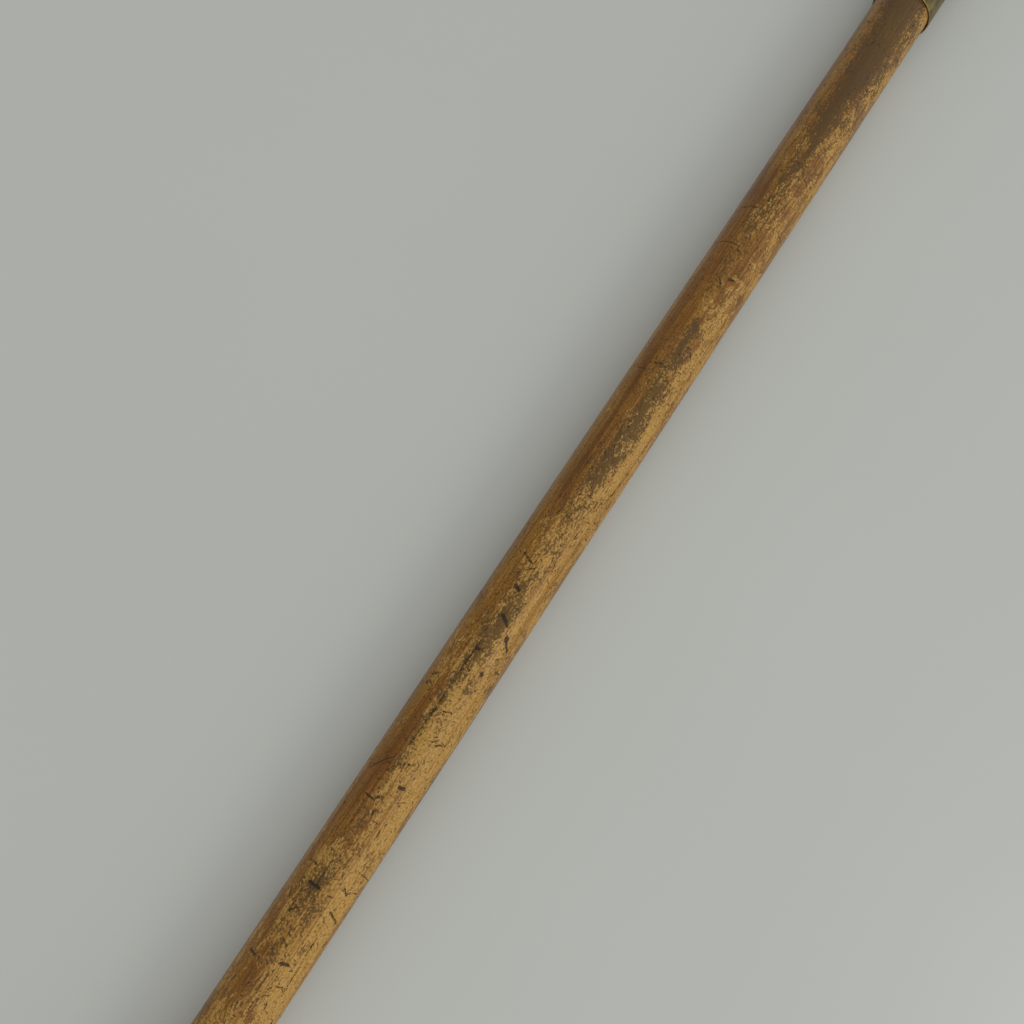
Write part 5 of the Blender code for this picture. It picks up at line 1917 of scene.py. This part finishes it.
@dataclass
class SawBlade:
    """The curved pruning blade, with teeth ground to a bevel on alternate sides."""

    length: float = 335.0 * MM
    curve_radius: float = 420.0 * MM
    heel_angle: float = math.radians(8.0)
    heel_width: float = 40.0 * MM
    tip_width: float = 25.0 * MM
    tooth_pitch: float = 6.5 * MM
    tooth_depth: float = 4.2 * MM
    tooth_start: float = 58.0 * MM
    tooth_rise: float = 0.18
    hook: float = 11.0 * MM
    inset: float = 0.3 * MM
    point_share: float = 0.25
    shade_angle: float = math.radians(12.0)
    heel_steps: int = 24
    back_steps: int = 40
    nose: tuple[Point, ...] = ((0.32, -0.86), (0.55, -0.62), (0.74, -0.34), (0.82, -0.1), (0.87, 0.25),
                               (0.86, 0.6), (0.78, 0.92), (0.62, 1.25), (0.38, 1.62))
    hook_face: tuple[Point, ...] = ((0.1, 1.0), (-0.02, 0.5), (-0.08, 0.2))
    throat: tuple[Point, ...] = ((-0.30, -0.2), (-0.7, -1.0))

    def along(self, distance: float, offset: float) -> Point:
        """A point beside the blade's curved centre line.

        Args:
            distance: how far along the line.
            offset: how far to the toothed side.

        Returns:
            The point in the plate's plane.
        """
        angle = self.heel_angle + distance / self.curve_radius
        x = self.curve_radius * (math.sin(angle) - math.sin(self.heel_angle))
        reach = self.curve_radius * (math.cos(self.heel_angle) - math.cos(angle))
        return x - offset * math.sin(angle), -(reach + offset * math.cos(angle))

    def half_width(self, distance: float) -> float:
        """Half of the blade's width at a distance along it."""
        return (self.heel_width + (self.tip_width - self.heel_width) * distance / self.length) / 2

    def body_outline(self) -> tuple[list[Point], list[Point]]:
        """The blade without its teeth.

        Returns:
            The outline from the heel round to the first root, and the roots from tip to heel.
        """
        heel = self.heel_angle + math.pi / 2
        radius = self.heel_width / 2
        turns = [heel + math.pi * step / self.heel_steps for step in range(self.heel_steps + 1)]
        outline = [(radius * math.cos(a), -radius * math.sin(a)) for a in turns]
        for step in range(1, self.back_steps + 1):
            distance = self.length * step / self.back_steps
            outline.append(self.along(distance, -self.half_width(distance)))
        end, tip = self.length, self.tip_width / 2
        outline += [self.along(end + forward * tip, offset * tip) for forward, offset in self.nose]
        for unit, corners in ((self.hook, self.hook_face), (self.tooth_depth, self.throat)):
            outline += [self.along(end + forward * tip, tip + share * unit) for forward, share in corners]
        teeth = int((self.length - 0.9 * tip - self.tooth_start) / self.tooth_pitch)
        roots = [self.tooth_start + number * self.tooth_pitch for number in range(teeth, -1, -1)]
        return outline, [self.along(d, self.half_width(d) - self.tooth_depth) for d in roots]

    def build(self) -> None:
        """Build the blade with its holes and ground teeth."""
        span = Span.of("saw_blade", Axis.PIVOT)
        outline, roots = self.body_outline()
        rear = [self.along(self.tooth_start - self.tooth_depth, self.half_width(self.tooth_start)),
                self.along(self.tooth_start / 2, self.half_width(self.tooth_start / 2))]
        shape = bmesh.new()
        rim = [shape.verts.new((x, y, span.start)) for x, y in outline + roots + rear]
        shape.faces.new(rim)
        last = len(outline) + len(roots) - 1
        tips = {}
        for number in range(len(roots) - 1):
            far, near = rim[last - number - 1], rim[last - number]
            distance = self.tooth_start + (number + self.tooth_rise) * self.tooth_pitch
            x, y = self.along(distance, self.half_width(distance))
            point = shape.verts.new((x, y, span.start))
            shape.faces.new((near, far, point))
            tips[number] = (x, y)
        bmesh.ops.recalc_face_normals(shape, faces=shape.faces)
        raised = bmesh.ops.extrude_face_region(shape, geom=list(shape.faces), use_keep_orig=True)
        moved = [item for item in raised["geom"] if isinstance(item, bmesh.types.BMVert)]
        bmesh.ops.translate(shape, verts=moved, vec=(0, 0, span.length))
        bmesh.ops.recalc_face_normals(shape, faces=shape.faces)
        sides = [face for face in shape.faces if abs(face.normal.z) > 0.9]
        bmesh.ops.inset_region(shape, faces=sides, thickness=self.inset, use_even_offset=True)
        self.grind(shape, tips, span)
        place = seat(Axis.PIVOT, Vector((1.0, 0.0, 0.0)))
        put("ground_saw_blade", shape, BLADE, "blade", ("saw_blade",), place, self.shade_angle)

    def grind(self, shape: bmesh.types.BMesh, tips: dict[int, Point], span: Span) -> None:
        """Bring each tooth's point to one face of the blade, by turns.

        Args:
            shape: the blade.
            tips: each tooth's point, by its number.
            span: the blade's span about the pivot.
        """
        for number, (x, y) in tips.items():
            keep = span.start if number % 2 == 0 else span.end
            for vert in shape.verts:
                if abs(vert.co.x - x) < MERGE and abs(vert.co.y - y) < MERGE:
                    vert.co.z = keep + self.point_share * (vert.co.z - keep)


# ---------------------------------------------------------------- the setting


@dataclass
class Setting:
    """The surface, the lights and the camera."""

    floor_drop: float = 0.2 * MM
    floor_side: float = 6.0
    camera_height: float = 0.4490
    camera_reach: float = 0.4251
    focal: float = 36.035
    sensor: float = 36.0
    right: Triple = (-0.54709, 0.83381, 0.07383)
    down: Triple = (0.81147, 0.54994, -0.19772)
    back: Triple = (0.20546, 0.04826, 0.97747)
    dim_side: float = 0.36
    bright_side: float = 0.90
    room_tint: Colour = (1.0, 1.0, 0.985)
    window_place: Triple = (1.30, 1.20, 0.98)
    window_aim: Triple = (1.36, 0.0, 0.0)
    window_side: float = 0.42
    window_power: float = 2.5
    window_tint: Colour = (1.0, 0.99, 0.96)

    def build(self) -> None:
        """Build the surface, the lights and the camera."""
        self.surface()
        self.window()
        self.room()
        self.camera()
        view = bpy.context.scene.view_settings
        view.view_transform = "Standard"
        view.look = "None"

    def surface(self) -> None:
        """A broad plain surface under the saw."""
        low, _ = CAD_BOX
        shape = bmesh.new()
        bmesh.ops.create_grid(shape, x_segments=8, y_segments=8, size=self.floor_side / 2)
        mesh = bpy.data.meshes.new("pale_floor")
        shape.to_mesh(mesh)
        shape.free()
        mesh.transform(Matrix.Translation((1.0, 0.0, low.z - self.floor_drop)))
        mesh.materials.append(SURFACE.material())
        floor = bpy.data.objects.new("pale_floor", mesh)
        bpy.context.scene.collection.objects.link(floor)

    def window(self) -> None:
        """A small soft light on the +Y side."""
        light = bpy.data.lights.new("window", "AREA")
        light.shape = "RECTANGLE"
        light.size = self.window_side
        light.size_y = self.window_side
        light.energy = self.window_power
        light.color = self.window_tint
        holder = bpy.data.objects.new("window", light)
        holder.location = self.window_place
        holder.rotation_mode = "QUATERNION"
        facing = Vector(self.window_aim) - Vector(self.window_place)
        holder.rotation_quaternion = facing.to_track_quat("-Z", "Y")
        bpy.context.scene.collection.objects.link(holder)

    def room(self) -> None:
        """A room that grows brighter towards +Y."""
        world = bpy.data.worlds.new("soft_room")
        world.use_nodes = True
        tree = Tree(world.node_tree)
        background = world.node_tree.nodes["Background"]
        across = tree.parts(tree.add("TexCoord").outputs["Generated"])[1]
        side = tree.add("MapRange")
        for socket, value in zip(side.inputs, (across, -1.0, 1.0, self.dim_side, self.bright_side)):
            tree.feed(socket, value)
        tree.feed(background.inputs["Strength"], side.outputs[0])
        tree.feed(background.inputs["Color"], self.room_tint)
        bpy.context.scene.world = world

    def camera(self) -> None:
        """A camera over the wooden pole, looking almost straight down."""
        lens = bpy.data.cameras.new("camera")
        lens.lens = self.focal
        lens.sensor_width = self.sensor
        lens.clip_start = 0.01
        holder = bpy.data.objects.new("camera", lens)
        bpy.context.scene.collection.objects.link(holder)
        turn = Matrix((self.right, -Vector(self.down), self.back)).transposed().to_4x4()
        where = Vector((Span.of("mouth_ferrule").end + self.camera_reach, 0.0, self.camera_height))
        holder.matrix_world = Matrix.Translation(where) @ turn
        bpy.context.scene.camera = holder


def main() -> None:
    """Build the saw's looks, section by section, and the setting round it."""
    logging.basicConfig(level=logging.INFO, format="%(name)s: %(message)s")
    Setting().build()
    WoodenPole().build()
    FerruleSection().build()
    HandleSection().build()
    HeadSection().build()
    SawBlade().build()


if __name__ == "__main__":
    main()
